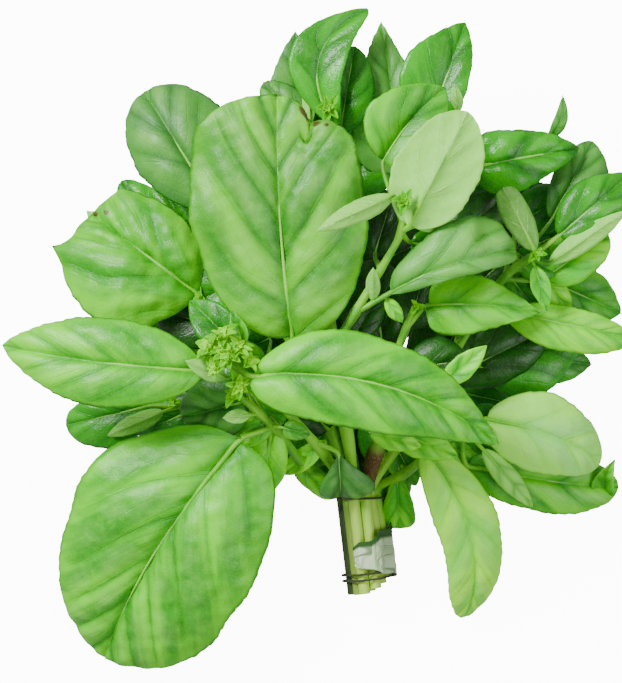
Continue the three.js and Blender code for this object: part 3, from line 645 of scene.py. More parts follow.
def surface_normals(points):
    """Normals at a grid of points, out of a blade's upper side."""
    down = np.gradient(points, axis=0)
    over = np.gradient(points, axis=1)
    return -unit(np.cross(down, over) + 1e-12)


def both_sides(*values):
    """Three values for each point of a sheet's upper side, and the same ones for its lower side."""
    side = np.stack(np.broadcast_arrays(*values), -1).reshape(-1, 3)
    return np.concatenate((side, side))


def add_blade(shell, leaf, seed):
    """Adds one leaf's blade, with what the leaf materials read on its points."""
    rng = np.random.default_rng(seed)
    along, _, _, length = blade_axes(leaf)
    rows = int(np.clip(round(length * BLADE_ROWS), *ROW_LIMITS))
    columns = 2 * int(np.clip(round(leaf.width * BLADE_COLUMNS), *COLUMN_LIMITS))
    t, q = np.meshgrid(eased(np.linspace(0, 1, rows + 1)), np.linspace(-1, 1, columns + 1), indexing="ij")
    q = np.sign(q) * np.abs(q) ** 1.15
    plain_half = half_width(leaf, t)
    grow = margin_teeth(leaf, t, q, plain_half, length, rng)
    half = plain_half * (1 + np.sign(q) * leaf.lean) * grow
    middle = blade_surface(leaf, t, q, grow)
    for off, spread, start, depth, beyond in leaf.notches:
        away = (q * half - off) / spread
        pull = np.exp(-np.abs(away))
        pull = np.where(away > 0, beyond + (1 - beyond) * pull, pull)
        pull = depth * pull * np.clip((t - start) / (1 - start), 0, 1)
        middle = middle - along * pull[..., None]
    relief, phase, gap, swell = blade_relief(leaf, t, q, half, length, rng)
    facing = surface_normals(middle)
    middle = middle + facing * (relief * (-1 if leaf.under else 1))[..., None]
    facing = surface_normals(middle)
    thick = BLADE_EDGE + (BLADE - BLADE_EDGE) * (1 - np.abs(q) ** 4)
    upper = middle + facing * thick[..., None] / 2
    lower = middle - facing * thick[..., None] / 2
    upper[..., 2] = np.maximum(upper[..., 2], np.where(facing[..., 2] < 0, 0, thick))
    lower[..., 2] = np.maximum(lower[..., 2], np.where(facing[..., 2] < 0, thick, 0))
    # the second colour is partly the leaf's own and partly painted light through the blade; the third value
    # is the share of painted sheen
    tone, patch, painted_sheen_share, rough = TONES[leaf.tone]
    pale_face = np.repeat((float(leaf.under), float(not leaf.under)), t.size)
    shift = 1 + rng.uniform(-TONE_SHIFT, TONE_SHIFT)
    worn = np.zeros_like(t)
    for at, off, size in leaf.marks:
        worn += np.exp(-(((t - at) * length / size) ** 2 + ((q * half - off) / size) ** 2))
    shell.add(
        np.concatenate((upper.reshape(-1, 3), lower.reshape(-1, 3))),
        grid_faces(rows, columns),
        rim=2 * (rows + columns),
        place=both_sides(q * half, t * length, seed * 37.0),
        ribs=both_sides(phase, gap, swell),
        span=both_sides(t, np.abs(q), leaf.width),
        # finish carries the share of painted sheen, the roughness and which face is the pale one
        finish=np.stack(np.broadcast_arrays(painted_sheen_share, rough, pale_face), 1),
        worn=both_sides(worn, worn, worn),
        tone=np.append(np.multiply(tone, shift), 1),
        patch=np.append(np.multiply(patch, shift), 1),
    )


# Stems and stalks


def in_bundle(place, y):
    """The point at a place across the bundle, y mm up from the neck thread."""
    return np.stack((place[0] - STUMP_SLANT * y, y, place[1] - STUMP_RISE * y), -1)


def from_left(sprig):
    """A stem's place in the bundle, counted in stems from the left side, 0 to 3."""
    return (sprig.slot[0] - BUNDLE_SIDE) / PITCH + 1.5


class Bend:
    """A smooth curve through points, the same curve as in the solids."""

    def __init__(self, points):
        self.points = [np.array(p, float) for p in points]
        steps = np.linspace(0, 1, BEND_STEPS * (len(self.points) - 1) + 1)
        self.line = np.array([self.at(s) for s in steps])
        run = np.linalg.norm(np.diff(self.line, axis=0), axis=1)
        self.run = np.concatenate(((0,), np.cumsum(run)))

    def at(self, share):
        """The point at a share of the stations, 0 to 1."""
        points = self.points
        last = len(points) - 1
        place = min(max(share, 0), 1) * last
        k = min(int(place), last - 1)
        w = place - k
        b, c = points[k], points[k + 1]
        a = points[k - 1] if k > 0 else 2 * b - c
        d = points[k + 2] if k + 2 <= last else 2 * c - b
        ab, bc, cd = (max(np.linalg.norm(q - p), 1e-8) ** 0.5 for p, q in ((a, b), (b, c), (c, d)))
        leave = ((b - a) / ab - (c - a) / (ab + bc) + (c - b) / bc) * bc
        arrive = ((c - b) / bc - (d - b) / (bc + cd) + (d - c) / cd) * bc
        return (
            b
            + leave * w
            + (-3 * b + 3 * c - 2 * leave - arrive) * w**2
            + (2 * b - 2 * c + leave + arrive) * w**3
        )

    def even(self, gap):
        """Points along the curve about gap mm apart, and their shares of its length."""
        count = max(4, round(self.run[-1] / gap))
        share = np.linspace(0, 1, count + 1)
        where = share * self.run[-1]
        return np.stack([np.interp(where, self.run, self.line[:, k]) for k in range(3)], 1), share


def stem_bend(sprig):
    cut_end = CUT_STEP * (from_left(sprig) / 3) ** 2 - STUMP_LENGTH
    stump = [in_bundle(sprig.slot, y) for y in (cut_end, -6, 0, STRAIGHT_PAST_NECK)]
    return Bend(stump + list(sprig.path) + [sprig.head.at])


def joint(leaf, stem):
    """The point of the stem that a leaf's stalk leaves."""
    return stem.at((NECK_STATION + 1 + leaf.station) / (len(stem.points) - 1))


def stalk_bend(leaf, stem):
    """A leaf stalk's curve, which goes on under the blade as its midrib."""
    out = blade_axes(leaf)[2]
    shares = np.array((0, 0.1, 0.2, 0.35, 0.5, 0.65, 0.8))
    under = blade_surface(leaf, shares, np.zeros(len(shares)))
    sunk = np.interp(shares, (0, 0.1, 0.3, 1), (0.25, 0.5, 0.55, 0.4))
    if leaf.under:
        sunk = -sunk
    return Bend([joint(leaf, stem)] + list(under - out * sunk[:, None]))


def stalk_lines(sprig):
    """The stem and its leaf stalks as lines of points, with girth and finish at each point."""
    stem = stem_bend(sprig)
    points, share = stem.even(STEM_STEP)
    girth = STEM_RADIUS * (1 - (1 - STEM_TOP) * np.clip((share - 0.35) / 0.65, 0, 1))
    for leaf in sprig.leaves:
        swollen = np.exp(-(np.linalg.norm(points - joint(leaf, stem), axis=1) ** 2) / 9)
        girth = girth * (1 + JOINT_SWELL * swollen)
    lines = [(points, girth, share, np.zeros(len(points)))]
    for leaf in sprig.leaves:
        points, share = stalk_bend(leaf, stem).even(STALK_STEP)
        size = NARROW_STALK if leaf.width < NARROW_LEAF else 1
        girth = size * np.interp(share, (0, 0.3, 0.6, 1), (PETIOLE_RADIUS, 0.9, 0.5, 0.16))
        lines.append((points, girth, np.ones(len(points)), share))
    return lines


def line_mesh(name, lines, closed=False):
    """A mesh of bare edges: a chain for each line of points, or a loop."""
    edges, start = [], 0
    for line in lines:
        count = len(line)
        edges += [(start + k, start + (k + 1) % count) for k in range(count if closed else count - 1)]
        start += count
    mesh = bpy.data.meshes.new(name)
    mesh.from_pydata((np.concatenate(lines) * MM).tolist(), edges, [])
    return mesh


# Nodes


class Wire:
    """A socket that takes arithmetic, each operation adding its Math node."""

    def __init__(self, graph, socket):
        self.graph, self.socket = graph, socket

    def __add__(self, other):
        return self.graph.math("ADD", self, other)

    def __sub__(self, other):
        return self.graph.math("SUBTRACT", self, other)

    def __rsub__(self, other):
        return self.graph.math("SUBTRACT", other, self)

    def __mul__(self, other):
        return self.graph.math("MULTIPLY", self, other)

    def __truediv__(self, other):
        return self.graph.math("DIVIDE", self, other)

    def __pow__(self, other):
        return self.graph.math("POWER", self, other)

    def __abs__(self):
        return self.graph.math("ABSOLUTE", self)

    __radd__ = __add__
    __rmul__ = __mul__


class Graph:
    """A node tree that is built from Python expressions."""

    def __init__(self, tree):
        self.tree = tree

    def node(self, kind, settings=None, sockets=None):
        """Adds a node of a type, with its settings, which are set first, and its sockets' values or links."""
        node = self.tree.nodes.new(kind)
        for name, value in (settings or {}).items():
            setattr(node, name, value)
        for key, value in (sockets or {}).items():
            socket = node.inputs[key]
            if isinstance(value, Wire):
                self.tree.links.new(value.socket, socket)
            else:
                socket.default_value = value
        return node

    def wire(self, kind, settings=None, sockets=None, out=0):
        return Wire(self, self.node(kind, settings, sockets).outputs[out])

    def math(self, operation, *values):
        return self.wire("ShaderNodeMath", {"operation": operation}, dict(enumerate(values)))

    def step(self, value, low, high):
        """0 below low, 1 above high, smooth between. High may be the smaller one."""
        sockets = {0: value, 1: low, 2: high, 3: 0.0, 4: 1.0}
        return self.wire("ShaderNodeMapRange", {"interpolation_type": "SMOOTHSTEP"}, sockets)

    def mix(self, mask, first, second, blend="MIX"):
        settings = {"data_type": "RGBA", "blend_type": blend, "clamp_factor": True}
        return self.wire("ShaderNodeMix", settings, {0: mask, 6: first, 7: second}, out=2)

    def tinted(self, color, tint):
        return self.mix(1.0, color, tint, "MULTIPLY")

    def attribute(self, name, out="Vector"):
        return self.wire("ShaderNodeAttribute", {"attribute_name": name}, out=out)

    def parts(self, vector):
        node = self.node("ShaderNodeSeparateXYZ", sockets={0: vector})
        return [Wire(self, socket) for socket in node.outputs]

    def vector(self, x, y, z):
        return self.wire("ShaderNodeCombineXYZ", sockets={0: x, 1: y, 2: z})

    def noise(self, place, scale, detail=2.0, rough=0.5):
        sockets = {"Vector": place, "Scale": scale, "Detail": detail, "Roughness": rough}
        return self.wire("ShaderNodeTexNoise", sockets=sockets)

    def borders(self, place, scale, width):
        """1 on the borders between small cells, 0 inside them."""
        settings = {"feature": "DISTANCE_TO_EDGE"}
        far = self.wire("ShaderNodeTexVoronoi", settings, {"Vector": place, "Scale": scale})
        return self.step(far, width, 0.0)


def material(name, dress, constants):
    """A principled material: dress gives its varying sockets, constants the even ones."""
    made = bpy.data.materials.new(name)
    made.use_nodes = True
    graph = Graph(made.node_tree)
    made.node_tree.nodes.clear()
    color, rough, height, reach = dress(graph)
    bump = graph.wire("ShaderNodeBump", sockets={"Height": height, "Distance": reach, "Strength": 1.0})
    sockets = {"Base Color": color, "Roughness": rough, "Normal": bump, **constants}
    shader = graph.wire("ShaderNodeBsdfPrincipled", sockets=sockets)
    graph.node("ShaderNodeOutputMaterial", sockets={"Surface": shader})
    return made


PAINTED_SHEEN_GREY = (0.21, 0.56, 0.085, 1)  # painted sheen: the grey-green that swellings show in soft light
VEIN = (0.36, 0.66, 0.14, 1)
VEIN_TINT = (1.9, 1.5, 2.1, 1)  # a tint multiplies the colour under it
# painted shade for the sunken veins, the furrows beside them and the groove along the midrib
FURROW_PAINTED_SHADE = (0.22, 0.55, 0.1, 1)
BROWN = (0.075, 0.06, 0.008, 1)
UNDERSIDE = (0.26, 0.7, 0.08, 1)
UNDERSIDE_VEIN = (0.5, 0.8, 0.26, 1)
# painted shade in the furrows of the pale underside
UNDERSIDE_PAINTED_SHADE = (0.62, 0.8, 0.55, 1)


def dress_leaf(graph):
    """Veined leaf: the midrib and side ribs follow the blade's own lines, the finest veins are borders of
    small cells, and the underside is paler. Painted shade darkens the furrows and the very margin, painted
    sheen greys the swellings, and a lighter yellow-green, partly painted light through the blade, lies in
    patches and along the margins."""
    place = graph.attribute("place")
    off_midrib, _, seed = graph.parts(place)
    phase, gap, swell = graph.parts(graph.attribute("ribs"))
    reach, side, width = graph.parts(graph.attribute("span"))
    # the share of painted sheen, the roughness and which face is the pale one
    painted_sheen_share, rough, pale_face = graph.parts(graph.attribute("finish"))
    tone = graph.attribute("tone", "Color")
    patch = graph.attribute("patch", "Color")

    from_midrib = abs(off_midrib)
    wander = graph.noise(place, 0.35, 2.0) - 0.5
    from_rib = abs(phase - graph.math("ROUND", phase)) * gap
    from_rib = abs(from_rib + wander * 0.7)
    has_rib = graph.step(phase, -0.45, -0.2) * (1 - side**4)
    tapering = (1 - reach) * 0.7 + 0.3
    midrib = graph.step(from_midrib, tapering * (width * 0.007 + 0.2), tapering * 0.1)
    rib = graph.step(from_rib, 0.32 - side * 0.2, 0.05) * has_rib
    trough = graph.step(from_rib, 2.2, 0.0) * has_rib
    gully = graph.step(from_midrib, width * 0.1 * tapering + 0.8, 0.2) * tapering

    streaks = graph.vector(phase * gap, from_midrib * 0.25, seed)
    # streaky patches of lighter yellow-green: partly the leaf's own, partly painted light through the thin
    # blade
    patches_and_glow = graph.step(graph.noise(streaks, 0.11, 3.0), 0.4, 0.62)
    mottle = graph.noise(place, 0.3, 4.0, 0.6)
    net = graph.borders(place, 0.36, 0.1)
    fine_net = graph.borders(place, 0.95, 0.12)
    cross = graph.borders(streaks, 0.17, 0.055) * has_rib

    color = graph.mix(patches_and_glow, tone, patch)
    color = graph.mix(graph.step(mottle, 0.42, 0.75) * 0.3, color, patch)
    color = graph.mix(graph.step(reach, 0.4, 0.0) * 0.25, color, patch)
    # painted sheen: the swellings turn grey-green, more so towards the tip
    painted_sheen = swell * swell * painted_sheen_share * graph.step(graph.noise(place, 0.1, 3.0), 0.25, 0.68) * (0.5 + 0.8 * reach)
    color = graph.mix(painted_sheen, color, PAINTED_SHEEN_GREY)
    # painted shade: the sunken veins, the furrows beside them and the groove along the midrib are darkened
    # with this colour
    painted_shade = graph.tinted(color, FURROW_PAINTED_SHADE)
    thin_line = graph.step(from_rib, 0.8, 0.1) * has_rib
    plain = 1 - graph.step(painted_sheen_share, 0.82, 0.9) * 0.5  # the painted furrow shade is fainter on a leaf with much painted sheen
    lines = trough * (0.2 + 0.5 * mottle) + thin_line * 0.25 + cross * 0.14
    color = graph.mix(lines * plain, color, painted_shade)
    color = graph.mix(gully * 0.85 * plain, color, painted_shade)
    light = graph.mix(0.4, graph.tinted(color, VEIN_TINT), VEIN)
    color = graph.mix(net * 0.08 + fine_net * 0.05 + rib * 0.12, color, light)
    color = graph.mix(midrib * 0.8, color, light)
    # painted light: a lighter band along the thin margins, as if light came through them
    color = graph.mix(graph.step(side, 0.7, 1.0) * 0.4, color, patch)
    # painted shade darkens the very margin
    color = graph.mix(graph.step(side, 0.95, 1.0) * 0.6, color, painted_shade)

    pale = graph.mix(0.6, tone, UNDERSIDE)
    pale = graph.mix(graph.step(mottle, 0.35, 0.8) * 0.4, pale, patch)
    # painted shade in the underside's furrows and along its midrib
    shaded = graph.tinted(pale, UNDERSIDE_PAINTED_SHADE)
    pale = graph.mix(trough * 0.4 + gully * 0.3, pale, shaded)
    pale = graph.mix(net * 0.16, pale, UNDERSIDE_VEIN)
    pale = graph.mix(graph.math("MAXIMUM", rib * 0.6, midrib), pale, UNDERSIDE_VEIN)
    color = graph.mix(pale_face, color, pale)

    worn, _, _ = graph.parts(graph.attribute("worn"))
    color = graph.mix(graph.step(worn * 0.7 + mottle * 0.6, 0.6, 0.85), color, BROWN)

    grain = graph.noise(place, 1.6, 3.0)
    rough = rough + (grain - 0.5) * 0.14 + trough * 0.05 + pale_face * 0.12
    raised = 2 * pale_face - 1
    height = (rib * 0.28 + cross * 0.2 + net * 0.1 + fine_net * 0.05 + midrib * 0.4) * raised
    height = height + grain * 0.1 + mottle * 0.5
    return color, rough, height, 0.35 * MM


# painted shade at the base and in the middle of each young leaf
YOUNG_PAINTED_SHADE = (0.2, 0.5, 0.1, 1)
YOUNG_OUTER = (0.06, 0.42, 0.0, 1)
YOUNG_INNER = (0.18, 0.62, 0.0, 1)
YOUNG_BRIGHT = (0.42, 0.9, 0.0, 1)  # at the front head


def dress_young(graph):
    """Young leaf: painted shade darkens its base, the middle of its cup and some random spots, so it is
    brighter to its tip.
    """
    place = graph.attribute("place")
    reach, side, _ = graph.parts(graph.attribute("span"))
    tone = graph.attribute("tone", "Color")
    shaded = graph.tinted(tone, YOUNG_PAINTED_SHADE)
    grain = graph.noise(place, 0.9, 3.0)
    color = graph.mix(graph.step(reach, 0.55, 0.0) * 0.8, tone, shaded)
    color = graph.mix(graph.step(grain, 0.48, 0.7) * 0.35, color, shaded)
    color = graph.mix(graph.step(side, 0.3, 0.0) * 0.35, color, shaded)
    return color, 0.5 + grain * 0.1, grain, 0.1 * MM


STEM_GREEN = (0.05, 0.32, 0.003, 1)
STEM_PALE = (0.38, 0.6, 0.06, 1)
STEM_LIGHT = (0.2, 0.6, 0.015, 1)
# painted shade on the outer stems at the left
STEM_PAINTED_SHADE = (0.01, 0.03, 0.003, 1)
STALK_PALE = (0.3, 0.66, 0.1, 1)
BARK_BROWN = (0.045, 0.022, 0.002, 1)
BARK_TAN = (0.16, 0.09, 0.012, 1)


def dress_stem(graph):
    """Stem: pale near its cut end and greener to its head, with fine streaks along it, and brown bark where
    it is woody. Painted shade darkens the outer stems at the left below the neck."""
    spot = graph.wire("ShaderNodeTexCoord", out="Object")
    x, y, z = graph.parts(spot)
    fresh, woody, dim, stalk = (graph.attribute(name, "Fac") for name in ("fresh", "woody", "dim", "stalk"))
    streaks = graph.noise(graph.vector(x * 1500, y * 140, z * 1500), 1.0, 3.0)
    blotches = graph.noise(spot, 90.0, 3.0)
    color = graph.mix(graph.step(fresh, 0.12, 0.4), STEM_PALE, STEM_LIGHT)
    color = graph.mix(graph.step(blotches, 0.35, 0.7) * graph.step(fresh, 0.25, 0.8), color, STEM_GREEN)
    color = graph.mix(graph.step(streaks, 0.5, 0.8) * 0.4, color, STEM_GREEN)
    color = graph.mix(graph.step(stalk, 0.3, 0.6) * 0.7, color, STALK_PALE)
    bark = graph.mix(graph.step(streaks, 0.4, 0.7), BARK_BROWN, BARK_TAN)
    color = graph.mix(woody, color, bark)
    # painted shade on the outer stems at the left, below the neck
    color = graph.mix(dim * (0.85 + 0.2 * streaks), color, STEM_PAINTED_SHADE)
    rough = 0.42 + streaks * 0.15 + woody * 0.2
    return color, rough, streaks, 0.15 * MM


THREAD_DARK = (0.03, 0.035, 0.018, 1)
THREAD_WORN = (0.12, 0.13, 0.06, 1)


def dress_thread(graph):
    """Dark twisted thread with worn fibres."""
    spot = graph.wire("ShaderNodeTexCoord", out="Object")
    fibres = graph.noise(spot, 2600.0, 4.0, 0.7)
    wear = graph.noise(spot, 260.0, 2.0)
    color = graph.mix(graph.step(fibres, 0.45, 0.8), THREAD_DARK, THREAD_WORN)
    color = graph.mix(graph.step(wear, 0.5, 0.8) * 0.4, color, THREAD_WORN)
    return color, 0.75 + fibres * 0.2, fibres, 0.12 * MM


STRIP_PALE = (0.5, 0.62, 0.4, 1)
STRIP_GREEN = (0.24, 0.42, 0.14, 1)
STRIP_CREASE = (0.06, 0.11, 0.03, 1)
STRIP_EDGE = (0.012, 0.07, 0.003, 1)


def dress_strip(graph):
    """Limp pale leaf strip with darker creases and a dark green upper edge."""
    place = graph.attribute("place")
    _, down, crease = graph.parts(place)
    mottle = graph.noise(place, 0.16, 4.0, 0.6)
    net = graph.borders(place, 0.3, 0.07)
    color = graph.mix(graph.step(mottle, 0.42, 0.66), STRIP_PALE, STRIP_GREEN)
    color = graph.mix(net * 0.35, color, STRIP_CREASE)
    color = graph.mix(graph.step(crease, 0.5, 1.0) * 0.8, color, STRIP_CREASE)
    color = graph.mix(graph.step(down, 0.24, 0.14), color, STRIP_EDGE)
    return color, 0.5 + mottle * 0.15, mottle + net * 0.4, 0.2 * MM


CUT_MIDDLE = (0.62, 0.7, 0.36, 1)
CUT_RING = (0.16, 0.28, 0.05, 1)
CUT_RIM = (0.09, 0.1, 0.03, 1)


def dress_cut(graph):
    """Cut end of a stem: a pale moist middle and a greener ring."""
    place = graph.attribute("place")
    from_middle, _, _ = graph.parts(place)
    grain = graph.noise(place, 3.0, 3.0)
    ring = graph.step(from_middle + grain * 0.2, 0.62, 0.86)
    color = graph.mix(ring, CUT_MIDDLE, CUT_RING)
    color = graph.mix(graph.step(from_middle, 0.93, 1.0), color, CUT_RIM)
    return color, 0.35 + grain * 0.2, grain, 0.1 * MM


LEAF = material("leaf", dress_leaf, {"Specular IOR Level": 0.36})
YOUNG_GLOW = {"Emission Color": (0.2, 0.5, 0.0, 1), "Emission Strength": 0.16}  # light through thin leaves
YOUNG = material("young_leaf", dress_young, {"Specular IOR Level": 0.12, **YOUNG_GLOW})
STEM = material("stem", dress_stem, {"Specular IOR Level": 0.45})
THREAD_SKIN = material("dark_thread", dress_thread, {"Specular IOR Level": 0.3})
STRIP_SKIN = material("pale_strip_skin", dress_strip, {"Specular IOR Level": 0.4})
CUT = material("cut_end", dress_cut, {"Specular IOR Level": 0.5})


# Geometry trees


def geometry_tree(name, sizes):
    """A tree with a geometry input and output and named inputs, its graph, and those inputs."""
    tree = bpy.data.node_groups.new(name, "GeometryNodeTree")
    tree.interface.new_socket("Geometry", in_out="INPUT", socket_type="NodeSocketGeometry")
    for title, (kind, value) in sizes.items():
        socket = tree.interface.new_socket(title, in_out="INPUT", socket_type="NodeSocket" + kind)
        if value is not None:
            socket.default_value = value
    tree.interface.new_socket("Geometry", in_out="OUTPUT", socket_type="NodeSocketGeometry")
    graph = Graph(tree)
    given = graph.node("NodeGroupInput")
    inputs = {socket.name: Wire(graph, socket) for socket in given.outputs if socket.name}
    return tree, graph, inputs


def finish_tree(graph, geometry, skin):
    """Every tree ends in real, smooth geometry with its material."""
    real = graph.wire("GeometryNodeRealizeInstances", sockets={0: geometry})
    smooth = graph.wire("GeometryNodeSetShadeSmooth", sockets={"Geometry": real})
    dressed = graph.wire("GeometryNodeSetMaterial", sockets={"Geometry": smooth, "Material": skin})
    graph.node("NodeGroupOutput", sockets={0: dressed})


def stalk_tree():
    """Stems and stalks: a ridged profile along each line, as thick as the line's girth."""
    sizes = {
        "Sides": ("Int", 16),
        "Ridge": ("Float", RIDGE),
        "Ridges": ("Float", RIDGES),
        "Skin": ("Material", None),
    }
    tree, graph, given = geometry_tree("ridged_stalks", sizes)
    sockets = {"Resolution": given["Sides"], "Radius": 1.0}
    circle = graph.wire("GeometryNodeCurvePrimitiveCircle", sockets=sockets)
    spot = graph.wire("GeometryNodeInputPosition")
    x, y, _ = graph.parts(spot)
    angle = graph.math("ARCTAN2", y, x)
    swell = graph.math("COSINE", angle * given["Ridges"]) * given["Ridge"]
    push = graph.wire("ShaderNodeVectorMath", {"operation": "SCALE"}, {0: spot, "Scale": swell})
    profile = graph.wire("GeometryNodeSetPosition", sockets={"Geometry": circle, "Offset": push})
    lines = graph.wire("GeometryNodeMeshToCurve", sockets={0: given["Geometry"]})
    girth = graph.wire("GeometryNodeInputNamedAttribute", {"data_type": "FLOAT"}, {"Name": "girth"})
    sockets = {"Curve": lines, "Profile Curve": profile, "Scale": girth, "Fill Caps": True}
    bars = graph.wire("GeometryNodeCurveToMesh", sockets=sockets)
    finish_tree(graph, bars, given["Skin"])
    return tree


def head_tree():
    """Young leaves: one leaflet placed round a middle in a spiral, outer ones spread, inner ones upright."""
    sizes = {
        "Leaflet": ("Object", None),
        "Count": ("Int", 12),
        "Size": ("Float", 1.0),
        "Outer spread": ("Float", 60.0),
        "Inner spread": ("Float", 8.0),
        "Turn": ("Rotation", None),
        "Place": ("Vector", None),
        "Outer tone": ("Color", None),
        "Inner tone": ("Color", None),
        "Chance": ("Int", 1),
        "Skin": ("Material", None),
    }
    tree, graph, given = geometry_tree("young_leaves", sizes)
    points = graph.wire("GeometryNodeMeshLine", sockets={"Count": given["Count"], "Offset": (0, 0, 0)})
    index = graph.wire("GeometryNodeInputIndex")
    inner = index / (given["Count"] - 1)
    chance = {"data_type": "FLOAT"}
    draw = {2: -0.3, 3: 0.3, "Seed": given["Chance"]}
    wobble = graph.wire("FunctionNodeRandomValue", chance, draw, out=1)
    draw = {2: 0.8, 3: 1.12, "Seed": given["Chance"] + 7}
    growth = graph.wire("FunctionNodeRandomValue", chance, draw, out=1)
    spread = given["Outer spread"] + (given["Inner spread"] - given["Outer spread"]) * inner
    rise = (90 - spread) * (math.pi / 180) + wobble * 0.6
    turn = graph.vector(rise, wobble * 0.5, index * GOLDEN_ANGLE + wobble)
    size = given["Size"] * (1 - inner * 0.35) * growth
    leaflet = graph.wire("GeometryNodeObjectInfo", sockets={"Object": given["Leaflet"]}, out="Geometry")
    scale = graph.vector(size, size, size)
    sockets = {"Points": points, "Instance": leaflet, "Rotation": turn, "Scale": scale}
    spiral = graph.wire("GeometryNodeInstanceOnPoints", sockets=sockets)
    settings = {"data_type": "FLOAT_COLOR", "domain": "INSTANCE"}
    shade = graph.mix(inner, given["Outer tone"], given["Inner tone"])
    sockets = {"Geometry": spiral, "Name": "tone", "Value": shade}
    toned = graph.wire("GeometryNodeStoreNamedAttribute", settings, sockets)
    real = graph.wire("GeometryNodeRealizeInstances", sockets={0: toned})
    sockets = {0: real, "Rotation": given["Turn"], "Translation": given["Place"]}
    leaned = graph.wire("GeometryNodeTransform", sockets=sockets)
    finish_tree(graph, leaned, given["Skin"])
    return tree


def thread_tree():
    """Twisted thread: plies that wind round the line that they follow."""
    sizes = {
        "Plies": ("Int", 3),
        "Ply radius": ("Float", 0.26 * MM),
        "Lay radius": ("Float", 0.24 * MM),
        "Twists": ("Float", 24.0),
        "Samples": ("Int", 400),
        "Skin": ("Material", None),
    }
    tree, graph, given = geometry_tree("twisted_thread", sizes)
    line = graph.wire("GeometryNodeMeshToCurve", sockets={0: given["Geometry"]})
    fine = graph.wire("GeometryNodeResampleCurve", sockets={"Curve": line, "Count": given["Samples"]})
    sockets = {"Geometry": fine, "Amount": given["Plies"]}
    plies = graph.node("GeometryNodeDuplicateElements", {"domain": "SPLINE"}, sockets)
    ply = Wire(graph, plies.outputs["Duplicate Index"])
    share = graph.wire("GeometryNodeSplineParameter", out="Factor")
    angle = (share * given["Twists"] + ply / given["Plies"]) * (2 * math.pi)
    normal = graph.wire("GeometryNodeInputNormal")
    tangent = graph.wire("GeometryNodeInputTangent")
    side = graph.wire("ShaderNodeVectorMath", {"operation": "CROSS_PRODUCT"}, {0: tangent, 1: normal})
    first = graph.math("COSINE", angle) * given["Lay radius"]
    second = graph.math("SINE", angle) * given["Lay radius"]
    settings = {"operation": "SCALE"}
    out = graph.wire("ShaderNodeVectorMath", settings, {0: normal, "Scale": first})
    over = graph.wire("ShaderNodeVectorMath", settings, {0: side, "Scale": second})
    push = graph.wire("ShaderNodeVectorMath", {"operation": "ADD"}, {0: out, 1: over})
    sockets = {"Geometry": Wire(graph, plies.outputs["Geometry"]), "Offset": push}
    wound = graph.wire("GeometryNodeSetPosition", sockets=sockets)
    sockets = {"Resolution": 8, "Radius": given["Ply radius"]}
    circle = graph.wire("GeometryNodeCurvePrimitiveCircle", sockets=sockets)
    strands = graph.wire("GeometryNodeCurveToMesh", sockets={"Curve": wound, "Profile Curve": circle})
    finish_tree(graph, strands, given["Skin"])
    return tree


def grown(name, mesh, tree, settings):
    """Runs a geometry tree on a mesh and returns the plain mesh that comes out."""
    carrier = bpy.data.objects.new(name + "_carrier", mesh)
    bpy.context.scene.collection.objects.link(carrier)
    modifier = carrier.modifiers.new("tree", "NODES")
    modifier.node_group = tree
    keys = {item.name: item.identifier for item in tree.interface.items_tree if item.in_out == "INPUT"}
    for title, value in settings.items():
        modifier[keys[title]] = value
    carrier.update_tag()
    graph = bpy.context.evaluated_depsgraph_get()
    made = bpy.data.meshes.new_from_object(carrier.evaluated_get(graph))
    made.name = name
    carrier.modifiers.remove(modifier)
    bpy.data.objects.remove(carrier)
    return made


def piece(name, mesh, skin, replaces):
    """A finished piece: linked, dressed, riding on the bunch and standing for its CAD nodes."""
    made = bpy.data.objects.new(name, mesh)
    bpy.context.scene.collection.objects.link(made)
    mesh.materials.clear()
    mesh.materials.append(skin)
    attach(made, "root")
    if replaces:
        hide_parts(*replaces)


STALKS = stalk_tree()
HEADS = head_tree()
TWISTED = thread_tree()


def leaflet_object():
    """The young leaf that every head repeats. Its tone comes from the head."""
    shell = Shell()
    tip = (0, LEAFLET_LENGTH, 0)
    young = Leaf(0, (0, 0, 0), tip, LEAFLET_WIDTH, "oval", "bright", arch=0.16, cup=0.7, puff=0.05)
    add_blade(shell, young, 5)
    mesh = shell.mesh("leaflet")
    mesh.attributes.remove(mesh.attributes["tone"])
    made = bpy.data.objects.new("leaflet", mesh)
    bpy.context.scene.collection.objects.link(made)
    return made


LEAFLET = leaflet_object()


